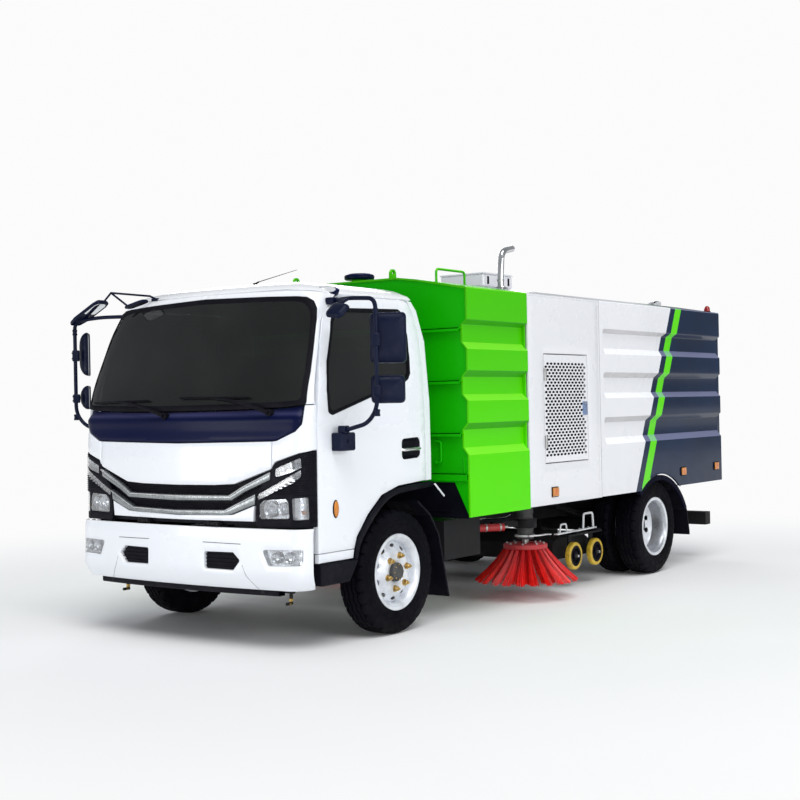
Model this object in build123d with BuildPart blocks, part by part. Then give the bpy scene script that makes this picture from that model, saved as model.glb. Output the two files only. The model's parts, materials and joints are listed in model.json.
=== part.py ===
# Street sweeper truck: a light cab-over lorry with a water tank, an engine bay,
# a tipping debris hopper, two side brushes and a suction nozzle.
# Frame: +Z up, ground at Z = 0, the front of the truck faces -Y and its left side is +X.
from build123d import *
import math
import os

os.makedirs("parts", exist_ok=True)

# ---------------------------------------------------------------- driving dimensions (mm)
FRONT_END, REAR_END = -957.0, 4703.0      # ends of the truck, measured from the front axle
FA = -(FRONT_END + REAR_END) / 2          # Y of the front axle; stations below are from it
WHEELBASE = 3360.0
TYRE_R, TYRE_HALF_W = 378.0, 95.0
FRONT_TYRE_X = 862.0
KINGPIN_X = 785.0
TWIN_OUT_X, TWIN_IN_X = 982.0, 742.0
RAIL_OUT, RAIL_LOW, RAIL_TOP, RAIL_END = 405.0, 470.0, 650.0, 4362.0
BODY_HALF_W = 1120.0
BODY_LOW = 680.0
BODY_FLOOR = 835.0
TANK_FRONT, TANK_REAR = 562.0, 1316.0
BAY_FRONT, BAY_REAR = 1316.0, 2356.0
HOPPER_FRONT, HOPPER_REAR = 2364.0, 4612.0
CORRUGATION_FRONT = 2440.0
TIP_Y, TIP_Z = 4400.0, 660.0              # hopper tipping pin
GATE_Y, GATE_Z = 4645.0, 2268.0           # tailgate hinge pin
TILT_Y, TILT_Z = -925.0, 728.0            # cab tilt pin
DOOR_PIN_X, DOOR_PIN_Y = 936.0, -733.0
BAY_PIN_X, BAY_PIN_Y = 1124.0, 1530.0
BRUSH_X, BRUSH_Y = 840.0, 1700.0
ARM_X, ARM_Y = 480.0, 1240.0
DUCT_X, DUCT_Y = -205.0, 2480.0


def yz(x):
    """Side-view plane at X = x: sketch axes are Y and Z, extrusion goes to +X."""
    return Plane(origin=(x, 0, 0), x_dir=(0, 1, 0), z_dir=(1, 0, 0))


def xz(y):
    """Front-view plane at station y: sketch axes are X and Z, extrusion goes to +Y with minus."""
    return Plane(origin=(0, FA + y, 0), x_dir=(1, 0, 0), z_dir=(0, -1, 0))


def block(x0, x1, y0, y1, z0, z1, mode=Mode.ADD):
    """Box between two corners, with Y given as stations from the front axle."""
    with Locations(((x0 + x1) / 2, FA + (y0 + y1) / 2, (z0 + z1) / 2)):
        Box(abs(x1 - x0), abs(y1 - y0), abs(z1 - z0), mode=mode)


def rod(x, y, z, r, h, axis="Z", mode=Mode.ADD):
    """Cylinder centred at a point, with Y given as a station."""
    turn = {"Z": (0, 0, 0), "X": (0, 90, 0), "Y": (90, 0, 0)}[axis]
    with Locations(Location((x, FA + y, z), turn)):
        Cylinder(r, h, mode=mode)


def side_prism(points, x0, x1, mode=Mode.ADD):
    """Prism with a side-view outline of (station, z) points between two X planes."""
    with BuildSketch(yz(x0)) as outline:
        with BuildLine():
            Polyline([(FA + y, z) for y, z in points], close=True)
        make_face()
    extrude(outline.sketch, amount=x1 - x0, mode=mode)


def front_prism(points, y0, y1, mode=Mode.ADD):
    """Prism with a front-view outline of (x, z) points between two stations."""
    with BuildSketch(xz(y0)) as outline:
        with BuildLine():
            Polyline(points, close=True)
        make_face()
    extrude(outline.sketch, amount=-(y1 - y0), mode=mode)


def mirrored(points):
    return [(-x, z) for x, z in points]


def save(part, label):
    part.label = label
    export_step(part, "parts/" + label + ".step")


# ---------------------------------------------------------------- ladder frame
with BuildPart() as frame_rails:
    for side in (1, -1):
        xo, xi = side * RAIL_OUT, side * (RAIL_OUT - 60)
        block(xo, xi, -850, RAIL_END, RAIL_LOW, RAIL_TOP)
        block(xo - side * 7, xi, -850, RAIL_END, RAIL_LOW + 7, RAIL_TOP - 7, mode=Mode.SUBTRACT)
save(frame_rails.part, "frame_rails")

WEB_IN = RAIL_OUT - 7
with BuildPart() as crossmembers:
    # columns: station, depth, low z, top z
    for y, d, z0, z1 in ((-800, 50, 500, 600), (640, 60, 530, 640), (1400, 60, 520, 640),
                         (2100, 60, 520, 640), (2900, 60, 535, 640), (3850, 60, 520, 640)):
        block(-WEB_IN, WEB_IN, y - d / 2, y + d / 2, z0, z1)
    # front hinge ears with the cab tilt pins, one pair each side
    for side in (1, -1):
        for x in (250, 320):
            block(side * x, side * (x + 14), TILT_Y - 11, -830, TILT_Z - 10.5, TILT_Z + 10.5)
        block(side * 250, side * 334, -846, -820, 500, 556)
        for x in (250, 320):
            block(side * x, side * (x + 14), -846, -820, 500, TILT_Z)
        rod(side * 293, TILT_Y, TILT_Z, 7, 62, "X")
    # rear cab rest: two posts on the rails with a cross bar
    for side in (1, -1):
        block(side * 350, side * 398, 470, 520, RAIL_TOP, 830)
    block(-398, 398, 470, 520, 830, 880)
    # tipping pins at the rail ends
    for side in (1, -1):
        block(side * WEB_IN, side * 352, 4290, RAIL_END, RAIL_LOW + 7, RAIL_TOP - 7)
        block(side * 382, side * 396, RAIL_END, TIP_Y + 28, 560, TIP_Z + 28)
        block(side * 342, side * 396, RAIL_END, RAIL_END + 8, 560, 628)
        rod(side * 362, TIP_Y, TIP_Z, 16, 44, "X")
        # brackets of the brush arms on the rails
        block(side * 405, side * 428, ARM_Y - 70, ARM_Y + 70, 480, 645)
        for z in (482, 626):
            block(side * 405, side * ARM_X, ARM_Y - 38, ARM_Y + 38, z - 9, z + 9)
            rod(side * ARM_X, ARM_Y, z, 38, 18)
        rod(side * ARM_X, ARM_Y, 554, 14, 136)
save(crossmembers.part, "crossmembers")

# ---------------------------------------------------------------- axles, springs, driveline
with BuildPart() as front_axle:
    beam = [(-745, 345), (-560, 300), (560, 300), (745, 345), (745, 412), (560, 370), (-560, 370), (-745, 412)]
    front_prism(beam, -36, 36)
    for side in (1, -1):
        rod(side * KINGPIN_X, 0, TYRE_R, 46, 96)
        rod(side * KINGPIN_X, 0, TYRE_R, 24.06, 96, mode=Mode.SUBTRACT)
save(front_axle.part, "front_axle")

with BuildPart() as rear_axle:
    rod(0, WHEELBASE, TYRE_R, 56, 1260, "X")
    rod(0, WHEELBASE, TYRE_R, 34, 1840, "X")
    rod(0, WHEELBASE, TYRE_R, 150, 190, "X")
    for side in (1, -1):
        block(side * 425, side * 495, WHEELBASE - 60, WHEELBASE + 60, 400, 446)
    # propeller shaft forward to the gearbox
    rod(0, (452 + 3215) / 2, 440, 38, 3215 - 452, "Y")
save(rear_axle.part, "rear_axle")

with BuildPart() as leaf_springs:
    # columns: first station, last station, eye z, seat z, leaf pack thickness
    for y0, y1, ze, zs, t in ((-560, 560, 470, 370, 46), (2800, 3900, 560, 446, 56)):
        ym = (y0 + y1) / 2
        pack = [(y0, ze), (ym - 90, zs), (ym + 90, zs), (y1, ze), (y1, ze + 26), (ym + 200, zs + t), (ym - 200, zs + t), (y0, ze + 26)]
        for side in (1, -1):
            side_prism(pack, min(side * 425, side * 495), max(side * 425, side * 495))
            for ye in (y0, y1):
                block(side * 405, side * 495, ye - 28, ye + 28, ze - 14, ze + 70)
save(leaf_springs.part, "leaf_springs")

with BuildPart() as main_engine:
    block(-280, 280, -420, 452, 402, 868)
save(main_engine.part, "main_engine")

# ---------------------------------------------------------------- bumper and spray bar
# columns: z, half width, side station, corner x, corner station, centre station
BUMPER = ((352, 905, -742, 770, -868, -915), (440, 945, -742, 800, -900, -957), (712, 940, -742, 800, -890, -948))


def nose_section(z, hw, ys, cx, cy, fy, yr, t):
    """Plan outline at height z: straight sides, rounded corners and a bowed front."""
    hw, cx, cy, fy, yr = hw - t, cx - t, cy + t, fy + t, yr - t
    mx, my = cx + (hw - cx) * 0.72, cy + (ys - cy) * 0.30
    with BuildSketch(Plane.XY.offset(z)) as section:
        with BuildLine():
            Line((-hw, FA + yr), (-hw, FA + ys))
            ThreePointArc((-hw, FA + ys), (-mx, FA + my), (-cx, FA + cy))
            ThreePointArc((-cx, FA + cy), (0, FA + fy), (cx, FA + cy))
            ThreePointArc((cx, FA + cy), (mx, FA + my), (hw, FA + ys))
            Line((hw, FA + ys), (hw, FA + yr))
            Line((hw, FA + yr), (-hw, FA + yr))
        make_face()
    return section.sketch


with BuildPart() as bumper_core:
    loft([nose_section(z + {352: -40, 440: 0, 712: 40}[z], hw, ys, cx, cy, fy, -741 + 60, 30) for z, hw, ys, cx, cy, fy in BUMPER], ruled=True)

with BuildPart() as front_bumper:
    loft([nose_section(z, hw, ys, cx, cy, fy, -741, 0) for z, hw, ys, cx, cy, fy in BUMPER], ruled=True)
    add(bumper_core.part, mode=Mode.SUBTRACT)
    # two pentagon-ended air recesses and two fog lamp recesses
    for side in (1, -1):
        front_prism([(side * 230, 500), (side * 230, 560), (side * 440, 560), (side * 494, 534), (side * 440, 500)], -990, -942, mode=Mode.SUBTRACT)
        front_prism([(side * 655, 578), (side * 868, 578), (side * 868, 512), (side * 700, 512)], -990, -893, mode=Mode.SUBTRACT)
        block(side * 345, side * 405, -925, -850, 480, 560)
save(front_bumper.part, "front_bumper")

with BuildPart() as spray_bar:
    block(-640, 640, -880, -780, 334, 351)
    rod(0, -700, 330, 15, 1420, "X")
    for side in (1, -1):
        rod(side * 687, -700, 292, 11, 76)
        rod(side * 687, -716, 258, 9, 50, "Y")
        block(side * 500, side * 540, -790, -690, 334, 351)
        block(side * 340, side * 380, -735, -700, 330, RAIL_LOW)
save(spray_bar.part, "spray_bar")

# ---------------------------------------------------------------- cab skin
# columns: z, half width, side station, corner x, corner station, centre station, rear station
CAB = ((500, 930, -735, 835, -868, -930, 400),
       (1100, 934, -725, 835, -862, -930, 400),
       (1420, 930, -700, 842, -832, -895, 400),
       (1800, 900, -600, 812, -695, -758, 398),
       (2000, 845, -530, 760, -622, -683, 392),
       (2080, 800, -495, 715, -585, -645, 380),
       (2130, 700, -430, 620, -520, -585, 345),
       (2160, 560, -330, 480, -420, -480, 270))
CAB_WALL = 42.0


def cab_solid(t):
    """Cab outline lofted through its sections, set in by t on every side and at the roof."""
    drop = (0, 0, 0, 0, t * 0.3, t * 0.6, t * 0.9, t)
    loft([nose_section(row[0] - d, *row[1:], t) for row, d in zip(CAB, drop)], ruled=True)


# side-view outlines, (station, z)
DOOR_TOP = 2052.0
DOOR_LINE = [(-742, 505), (-742, 760), (-735, 1100), (-710, 1420), (-660, 1700), (-606, 1925), (-560, 2010), (-480, DOOR_TOP - 8),
             (-380, DOOR_TOP), (270, DOOR_TOP), (322, 2010), (335, 1950), (335, 917), (50, 900), (-130, 853), (-272, 748), (-385, 622), (-420, 505)]
ARCH_LINE = [(420, 922), (50, 905), (-130, 858), (-272, 753), (-385, 627), (-428, 500), (-428, 300), (420, 300)]
WINDOW = [(-596, 1372), (-626, 1410), (-604, 1650), (-478, 1950), (-455, 1962), (170, 1982), (196, 1960), (192, 1600), (170, 1566), (105, 1526), (-228, 1452), (-575, 1358)]
SCREEN = [(-872, 1424), (872, 1424), (832, 2030), (-832, 2030)]
LAMP = [(568, 745), (590, 925), (704, 1072), (990, 1172), (990, 745)]


def grown(points, d):
    """Outline scaled about its centre so that it is d larger on each side."""
    us, vs = [p[0] for p in points], [p[1] for p in points]
    cu, cv = (max(us) + min(us)) / 2, (max(vs) + min(vs)) / 2
    fu, fv = 1 + 2 * d / (max(us) - min(us)), 1 + 2 * d / (max(vs) - min(vs))
    return [(cu + (u - cu) * fu, cv + (v - cv) * fv) for u, v in points]


with BuildPart() as cab_outer:
    cab_solid(0)
with BuildPart() as cab_inner_open:
    # inner volume carried down through the bottom of the skin
    cab_solid(CAB_WALL)
    extrude(nose_section(490, 930, -735, 835, -868, -930, 400, CAB_WALL), amount=10)
with BuildPart() as cab_skin:
    add(cab_outer.part)
    add(cab_inner_open.part, mode=Mode.SUBTRACT)
    side_prism(ARCH_LINE, -960, 960, mode=Mode.SUBTRACT)
    block(-960, 960, -1000, -743, 480, 745, mode=Mode.SUBTRACT)
    block(-700, 700, -1000, -420, 480, 745, mode=Mode.SUBTRACT)

ROOF_Z, REAR_Y, FRONT_Z = 2060.0, 343.0, 1416.0
with BuildPart() as screen_zone:
    front_prism(SCREEN, -1000, -350)
    side_prism([(-1000, 1400), (-756, 1400), (-572, 2050), (-1000, 2050)], -960, 960, mode=Mode.INTERSECT)

with BuildPart() as cab_roof:
    add(cab_skin.part)
    block(-960, 960, -1000, 450, ROOF_Z, 2200, mode=Mode.INTERSECT)
save(cab_roof.part, "cab_roof")

with BuildPart() as cab_rear_panel:
    add(cab_skin.part)
    block(-960, 960, REAR_Y, 450, 480, ROOF_Z, mode=Mode.INTERSECT)
    block(-560, 560, 330, 450, 1480, 1900, mode=Mode.SUBTRACT)
save(cab_rear_panel.part, "cab_rear_panel")

with BuildPart() as cab_front_panel:
    add(cab_skin.part)
    block(-960, 960, -1000, -690, 744, FRONT_Z, mode=Mode.INTERSECT)
    side_prism(grown(DOOR_LINE, 4), -960, 960, mode=Mode.SUBTRACT)
    front_prism(LAMP, -1000, -700, mode=Mode.SUBTRACT)
    front_prism(mirrored(LAMP), -1000, -700, mode=Mode.SUBTRACT)
save(cab_front_panel.part, "cab_front_panel")

with BuildPart() as lamp_zone:
    front_prism(LAMP, -1000, -746)
    front_prism(mirrored(LAMP), -1000, -746)
with BuildPart() as headlamps:
    add(cab_skin.part)
    add(lamp_zone.part, mode=Mode.INTERSECT)
save(headlamps.part, "headlamps")

with BuildPart() as windscreen_frame:
    add(cab_skin.part)
    block(-960, 960, -1000, -380, FRONT_Z, ROOF_Z, mode=Mode.INTERSECT)
    side_prism(grown(DOOR_LINE, 4), -960, 960, mode=Mode.SUBTRACT)
    add(screen_zone.part, mode=Mode.SUBTRACT)
save(windscreen_frame.part, "windscreen_frame")

with BuildPart() as glass_core:
    cab_solid(14)
with BuildPart() as glass_skin:
    cab_solid(6)
    add(glass_core.part, mode=Mode.SUBTRACT)

with BuildPart() as cab_glass:
    add(glass_skin.part)
    add(screen_zone.part, mode=Mode.INTERSECT)
    block(-560, 560, 374, 382, 1480, 1900)
save(cab_glass.part, "cab_glass")

# floor pan: footwell, riser and the raised seat deck, with the tilt lugs under its front edge
with BuildPart() as floor_zone:
    side_prism([(-1000, 776), (-1000, 745), (-830, 745), (-800, 714), (-430, 714), (-430, 925), (420, 925), (420, 955), (-462, 955), (-462, 744), (-790, 744), (-820, 776)], -960, 960)
with BuildPart() as cab_floor:
    add(cab_inner_open.part)
    add(floor_zone.part, mode=Mode.INTERSECT)
    for side in (1, -1):
        arm = [(TILT_Y, TILT_Z - 10), (-860, TILT_Z - 10), (-790, 696), (-770, 696), (-770, 720), (-806, 732), (-860, TILT_Z + 10), (TILT_Y, TILT_Z + 10)]
        side_prism(arm, min(side * 272, side * 314), max(side * 272, side * 314))
        rod(side * 293, TILT_Y, TILT_Z, 10, 42, "X")
        rod(side * 293, TILT_Y, TILT_Z, 7.06, 44, "X", mode=Mode.SUBTRACT)
save(cab_floor.part, "cab_floor")

# entry steps, sills and wheel-arch lips of the cab, one moulding each side
FLARE = [(-412, 500), (-376, 618), (-263, 741), (-125, 844), (50, 891), (335, 908), (400, 912), (400, 878), (50, 856), (-104, 808), (-236, 708), (-345, 594), (-384, 500)]
with BuildPart() as cab_steps:
    for side in (1, -1):
        x0, x1 = min(side * 905, side * 948), max(side * 905, side * 948)
        side_prism(FLARE, x0, x1)
        side_prism([(-735, 374), (-735, 498), (-412, 498), (-412, 500), (-384, 500), (-384, 492), (-470, 374)], x0, x1)
        block(side * 760, side * 905, -735, -465, 374, 400)
        block(side * 760, side * 790, -735, -465, 374, 714)
        block(side * 760, side * 905, -735, -705, 400, 498)
        block(side * 862, side * 905, 330, 400, 880, 904)
        block(side * 862, side * 886, 322, 338, 880, 925)
save(cab_steps.part, "cab_steps")

with BuildPart() as dashboard:
    side_prism([(-800, 1080), (-800, 1360), (-700, 1350), (-560, 1250), (-545, 1130), (-640, 1060)], -820, 820)
    # steering column and wheel on the left-hand side
    with Locations(Location((430, FA - 470, 1205), (-55, 0, 0))):
        Torus(190, 16)
        Cylinder(46, 30)
        for a in (0, 120, 240):
            with Locations(Location((0, 0, 0), (0, 0, a))):
                with Locations((95, 0, 0)):
                    Box(190, 24, 12)
    with Locations(Location((430, FA - 530, 1165), (-55, 0, 0))):
        Cylinder(28, 180)
    block(-820, 820, -800, -760, 955, 1100)
    block(-40, 40, -782, -740, 744, 1000)
    add(cab_inner_open.part, mode=Mode.INTERSECT)
save(dashboard.part, "dashboard")

with BuildPart() as seats:
    # columns: first x, last x
    for x0, x1 in ((190, 680), (-780, 60)):
        block(x0, x1, -330, 190, 985, 1120)
        side_prism([(120, 1120), (200, 1120), (315, 1780), (250, 1790)], x0 + 10, x1 - 10)
        block(x0 + 60, x1 - 60, -260, 150, 956, 985)
save(seats.part, "seats")

# ---------------------------------------------------------------- doors, glass and mirrors
for side, word in ((1, "left"), (-1, "right")):
    xa, xb = (700, 960) if side > 0 else (-960, -700)
    with BuildPart() as door_zone:
        side_prism(grown(DOOR_LINE, -4), xa, xb)
        side_prism(WINDOW, xa, xb, mode=Mode.SUBTRACT)
    with BuildPart() as door:
        add(cab_outer.part)
        add(cab_inner_open.part, mode=Mode.SUBTRACT)
        add(door_zone.part, mode=Mode.INTERSECT)
        block(side * 780, side * 960, -1000, -731, 480, 2100, mode=Mode.SUBTRACT)
        # recess for the outside handle
        block(side * 922, side * 960, 96, 292, 1070, 1196, mode=Mode.SUBTRACT)
        # hinge barrels
        for z in (790, 980):
            rod(side * DOOR_PIN_X, DOOR_PIN_Y, z, 5, 60)
    save(door.part, "door_" + word)

    with BuildPart() as pane_zone:
        side_prism(WINDOW, xa, xb)
    with BuildPart() as pane:
        add(glass_skin.part)
        add(pane_zone.part, mode=Mode.INTERSECT)
    save(pane.part, "door_glass_" + word)

    with BuildPart() as mirror:
        # hoop of tube: upper arm, drop bar and lower arm back to the door
        path = [(side * 872, FA - 470, 2018), (side * 1050, FA - 560, 2022), (side * 1268, FA - 602, 2006), (side * 1268, FA - 602, 1385), (side * 1190, FA - 590, 1300), (side * 1010, FA - 560, 1262)]
        with BuildLine() as hoop:
            FilletPolyline(path, radius=(60, 45, 50, 40))
        with BuildSketch(Plane(origin=hoop.line @ 0, z_dir=hoop.line % 0)):
            Circle(13)
        sweep()
        block(side * 936, side * 1018, -630, -480, 1140, 1256)
        block(side * 960, side * 1018, -590, -530, 1250, 1290)
        # heads: main, wide-angle and the round front mirror
        # both glasses are turned towards the driver on the left-hand side
        turn, start = (36, -34) if side > 0 else (45, -10)
        wide = (127 + 22 * math.sin(math.radians(turn))) / math.cos(math.radians(turn))
        for length, z0, z1 in ((wide, 1640, 1930), (wide - 12, 1412, 1572)):
            with Locations(Location((side * 1268, FA - 602, (z0 + z1) / 2), (0, 0, side * turn))):
                with Locations((side * (length + start) / 2, 54, 0)):
                    Box(length - start, 64, z1 - z0)
                with Locations((0, 4, (z0 - z1) * 0.04)):
                    Box(52, 48, 76 if z0 > 1600 else 60)
        if side > 0:
            # small look-down mirror under the upper arm
            with Locations(Location((1040, FA - 665, 1952), (46, 0, -12))):
                Cylinder(78, 34)
            with Locations(Location((1045, FA - 608, 1990), (-55, 0, 0))):
                Cylinder(11, 118)
        else:
            # long kerb mirror rising inboard from the top of the bar
            with Locations(Location((-1127, FA - 602, 2058), (0, -24.7, 0))):
                Box(330, 124, 34)
    save(mirror.part, "mirror_" + word)

with BuildPart() as mirror_foot:
    with Locations((-505, FA - 578, 2105)):
        Box(54, 50, 38)
    add(cab_roof.part, mode=Mode.SUBTRACT)

with BuildPart() as front_mirror:
    add(mirror_foot.part)
    # stays: from the foot on the roof edge outboard to the knee, down to the plate, and a hooked end
    path = [(-505, FA - 588, 2116), (-520, FA - 622, 2128), (-566, FA - 690, 2134), (-807, FA - 690, 2163), (-636, FA - 700, 2064)]
    legs = list(zip(path, path[1:])) + [((-807, FA - 690, 2163), (-868, FA - 690, 2116))]
    for p, q in legs:
        with BuildLine() as stay:
            Line(p, q)
        with BuildSketch(Plane(origin=p, z_dir=stay.line % 0)):
            Circle(6.6)
        sweep()
        with Locations(q):
            Sphere(9)
    with Locations(Location((-560, FA - 702, 2076), (0, -11.5, 0))):
        Box(176, 72, 20)
save(front_mirror.part, "front_mirror")

# ---------------------------------------------------------------- body: tank, bay, hopper
# right half of the roof line, (x, z)
ROOF_LINE = [(560, 2245), (730, 2222), (BODY_HALF_W, 2149)]
# corrugations of the side, columns: upper edge, groove top, groove bottom, lower edge
GROOVES = ((1939, 1911, 1796, 1751), (1613, 1574, 1460, 1419), (1275, 1235, 1119, 1070))
GROOVE_DEPTH = 38.0


def body_outline(low, grooves):
    right = list(ROOF_LINE)
    if grooves:
        for za, zb, zc, zd in GROOVES:
            right += [(BODY_HALF_W, za), (BODY_HALF_W - GROOVE_DEPTH, zb), (BODY_HALF_W - GROOVE_DEPTH, zc), (BODY_HALF_W, zd)]
    right.append((BODY_HALF_W, low))
    return right + [(-x, z) for x, z in reversed(right)]


with BuildPart() as water_tank:
    front_prism(body_outline(900, True), TANK_FRONT, TANK_REAR)
    for side in (1, -1):
        block(side * (BODY_HALF_W - 25), side * BODY_HALF_W, TANK_FRONT, TANK_REAR, BODY_LOW - 8, 900)
        front_prism([(side * 1000, 900), (side * BODY_HALF_W, 900), (side * BODY_HALF_W, BODY_LOW - 8)], TANK_FRONT, TANK_FRONT + 8)
        block(side * 340, side * 405, TANK_FRONT + 10, TANK_REAR, RAIL_TOP, 900)
    # stiffening bars across the front wall; columns: z
    for z in (1887, 1548, 1210):
        block(-BODY_HALF_W + 50, BODY_HALF_W - 50, TANK_FRONT - 24, TANK_FRONT, z - 5, z + 5)
    # hydrant filling stub low on the right side
    rod(-BODY_HALF_W - 28, 1100, 760, 33, 64, "X")
save(water_tank.part, "water_tank")

with BuildPart() as roof_fittings:
    # round manhole with its lid
    rod(0, 900, 2268, 56, 46)
    rod(0, 900, 2312, 108, 44)
    # lifting eyes
    for side in (1, -1):
        block(side * 420, side * 436, 680, 750, 2245, 2320)
        # grab rail beside the manhole
        xr = 790
        block(side * (xr - 9), side * (xr + 9), 700, 718, 2212.6, 2306)
        block(side * (xr - 9), side * (xr + 9), 1040, 1058, 2212.6, 2306)
        block(side * (xr - 9), side * (xr + 9), 718, 1040, 2288, 2306)
    # air intake box
    block(240, 620, 1560, 1960, 2245, 2345)
save(roof_fittings.part, "roof_fittings")

with BuildPart() as engine_bay:
    front_prism(body_outline(BODY_FLOOR, False), BAY_FRONT, BAY_REAR)
    inner = [(540, 2203), (722, 2180), (BODY_HALF_W - 42, 2110), (BODY_HALF_W - 42, BODY_FLOOR + 36)]
    front_prism(inner + [(-x, z) for x, z in reversed(inner)], BAY_FRONT + 30, BAY_REAR - 30, mode=Mode.SUBTRACT)
    for side in (1, -1):
        block(side * 1000, side * 1150, BAY_PIN_Y - 6, 2166, 966, 1740, mode=Mode.SUBTRACT)
        block(side * (BODY_HALF_W - 25), side * BODY_HALF_W, BAY_FRONT, BAY_REAR, BODY_LOW, BODY_FLOOR)
        block(side * 340, side * 405, BAY_FRONT, BAY_REAR, RAIL_TOP, BODY_FLOOR)
    block(764, 836, 1464, 1536, 2170, 2218)
save(engine_bay.part, "engine_bay")

for side, word in ((1, "left"), (-1, "right")):
    with BuildPart() as bay_door:
        block(side * 1094, side * BODY_HALF_W, BAY_PIN_Y + 2, 2158, 974, 1732)
        rod(side * (BAY_PIN_X + 2), BAY_PIN_Y + 3, 1120, 7, 90)
        rod(side * (BAY_PIN_X + 2), BAY_PIN_Y + 3, 1590, 7, 90)
        block(side * 1118, side * 1132, 2085, 2150, 1300, 1398)
    save(bay_door.part, "bay_door_" + word)

with BuildPart() as auxiliary_engine:
    block(-360, 360, 1480, 2200, 871, 1560)
save(auxiliary_engine.part, "auxiliary_engine")

with BuildPart() as exhaust_stack:
    with BuildLine() as pipe:
        FilletPolyline([(800, FA + 1500, 2218), (800, FA + 1500, 2300), (800, FA + 1520, 2478), (800, FA + 1668, 2506)], radius=60)
    with BuildSketch(Plane(origin=pipe.line @ 0, z_dir=pipe.line % 0)):
        Circle(23)
    sweep()
save(exhaust_stack.part, "exhaust_stack")

ARCH_Y, ARCH_Z, ARCH_R = 3370.0, 200.0, 590.0     # rear wheel arch circle

with BuildPart() as hopper:
    front_prism(body_outline(BODY_FLOOR, False), HOPPER_FRONT, CORRUGATION_FRONT)
    front_prism(body_outline(BODY_FLOOR, True), CORRUGATION_FRONT, HOPPER_REAR)
    inner = [(540, 2203), (722, 2180), (BODY_HALF_W - 74, 2112), (BODY_HALF_W - 74, BODY_FLOOR + 40)]
    front_prism(inner + [(-x, z) for x, z in reversed(inner)], HOPPER_FRONT + 40, HOPPER_REAR + 10, mode=Mode.SUBTRACT)
    for side in (1, -1):
        block(side * (BODY_HALF_W - 25), side * BODY_HALF_W, HOPPER_FRONT, HOPPER_REAR, BODY_LOW + 4, BODY_FLOOR)
        # runners above the rails and the tipping eyes
        block(side * 345, side * 375, HOPPER_FRONT + 20, TIP_Y + 60, 662, BODY_FLOOR)
        rod(side * 360, TIP_Y, TIP_Z, 34, 30, "X")
        rod(side * 360, TIP_Y, TIP_Z, 16.06, 30, "X", mode=Mode.SUBTRACT)
        # tailgate hinge plates on the roof edge
        for x in (476, 540):
            block(side * x, side * (x + 12), HOPPER_REAR - 90, GATE_Y + 16, 2241, GATE_Z + 18)
        rod(side * 514, GATE_Y, GATE_Z, 10, 64, "X")
    rod(1150, ARCH_Y, ARCH_Z, ARCH_R + 10, 200, "X", mode=Mode.SUBTRACT)
    rod(-1150, ARCH_Y, ARCH_Z, ARCH_R + 10, 200, "X", mode=Mode.SUBTRACT)
save(hopper.part, "hopper")

with BuildPart() as tailgate:
    edge = [(545, 2228), (726, 2204), (1078, 2134), (1078, 730)]
    front_prism(edge + [(-x, z) for x, z in reversed(edge)], 4622, 4662)
    # pressed frame of ribs
    for x in (-1030, -380, 380, 1030):
        block(x - 42, x + 42, 4662, REAR_END, 780, 2080)
    for z in (760, 1240, 1680, 2080):
        block(-1072, 1072, 4662, REAR_END, z - 30, z + 30)
    for side in (1, -1):
        block(side * 494, side * 534, 4630, 4662, 2180, GATE_Z)
        rod(side * 514, GATE_Y, GATE_Z, 24, 40, "X")
        rod(side * 514, GATE_Y, GATE_Z, 10.06, 40, "X", mode=Mode.SUBTRACT)
save(tailgate.part, "tailgate")

# ---------------------------------------------------------------- mudguards, boxes, rear bar
with BuildPart() as mudguards:
    for side in (1, -1):
        x0, x1 = min(side * 700, side * 968), max(side * 700, side * 968)
        # behind the front wheel: quarter arch and hanging flap
        outer = [(470 * math.cos(math.radians(a)), TYRE_R + 470 * math.sin(math.radians(a))) for a in (5, 25, 45, 65)]
        inner = [(456 * math.cos(math.radians(a)), TYRE_R + 456 * math.sin(math.radians(a))) for a in (65, 45, 25, 5)]
        side_prism([(530, 165), (516, 165)] + inner[::-1] + outer[::-1], x0, x1)
        block(side * 405, side * 700, 400, 440, 600, 628)
        block(side * 405, side * 720, 440, 466, 500, 530)
        # over the twin wheels: arch down to low behind the wheel
        x0, x1 = min(side * 640, side * 1108), max(side * 640, side * 1108)
        angles = (28, 50, 70, 90, 110, 126)
        outer = [(ARCH_Y + ARCH_R * math.cos(math.radians(a)), ARCH_Z + ARCH_R * math.sin(math.radians(a))) for a in angles]
        inner = [(ARCH_Y + (ARCH_R - 12) * math.cos(math.radians(a)), ARCH_Z + (ARCH_R - 12) * math.sin(math.radians(a))) for a in reversed(angles)]
        side_prism([(3936, 262), (3936, 290)] + outer + inner + [(3924, 290), (3924, 262)], x0, x1)
        block(side * 405, side * 645, 3930, 3950, 560, 590)
        block(side * 600, side * 645, 3880, 3950, 470, 590)
save(mudguards.part, "mudguards")

with BuildPart() as fuel_tank_battery_box:
    # battery box on the left rail
    block(520, 900, 580, 1010, 384, 640)
    block(405, 520, 640, 690, 560, 620)
    block(405, 520, 900, 950, 560, 620)
    # fuel tank on the right rail
    with BuildSketch(xz(580)):
        with Locations((-700, 510)):
            RectangleRounded(380, 290, 60)
    extrude(amount=-520)
    block(-515, -405, 640, 690, 560, 620)
    block(-515, -405, 960, 1010, 560, 620)
save(fuel_tank_battery_box.part, "fuel_tank_battery_box")

with BuildPart() as underrun_bar:
    block(-1000, 1000, 4520, 4620, 290, 402)
    for side in (1, -1):
        side_prism([(4200, RAIL_LOW), (4340, RAIL_LOW), (4520, 400), (4520, 320), (4440, 320)], min(side * 360, side * 400), max(side * 360, side * 400))
    # towing jaw with its vertical pin hole
    for z in (322, 370):
        block(-45, 45, 4620, REAR_END - 13, z, z + 14)
    rod(0, 4655, 353, 16, 90, mode=Mode.SUBTRACT)
save(underrun_bar.part, "underrun_bar")

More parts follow.
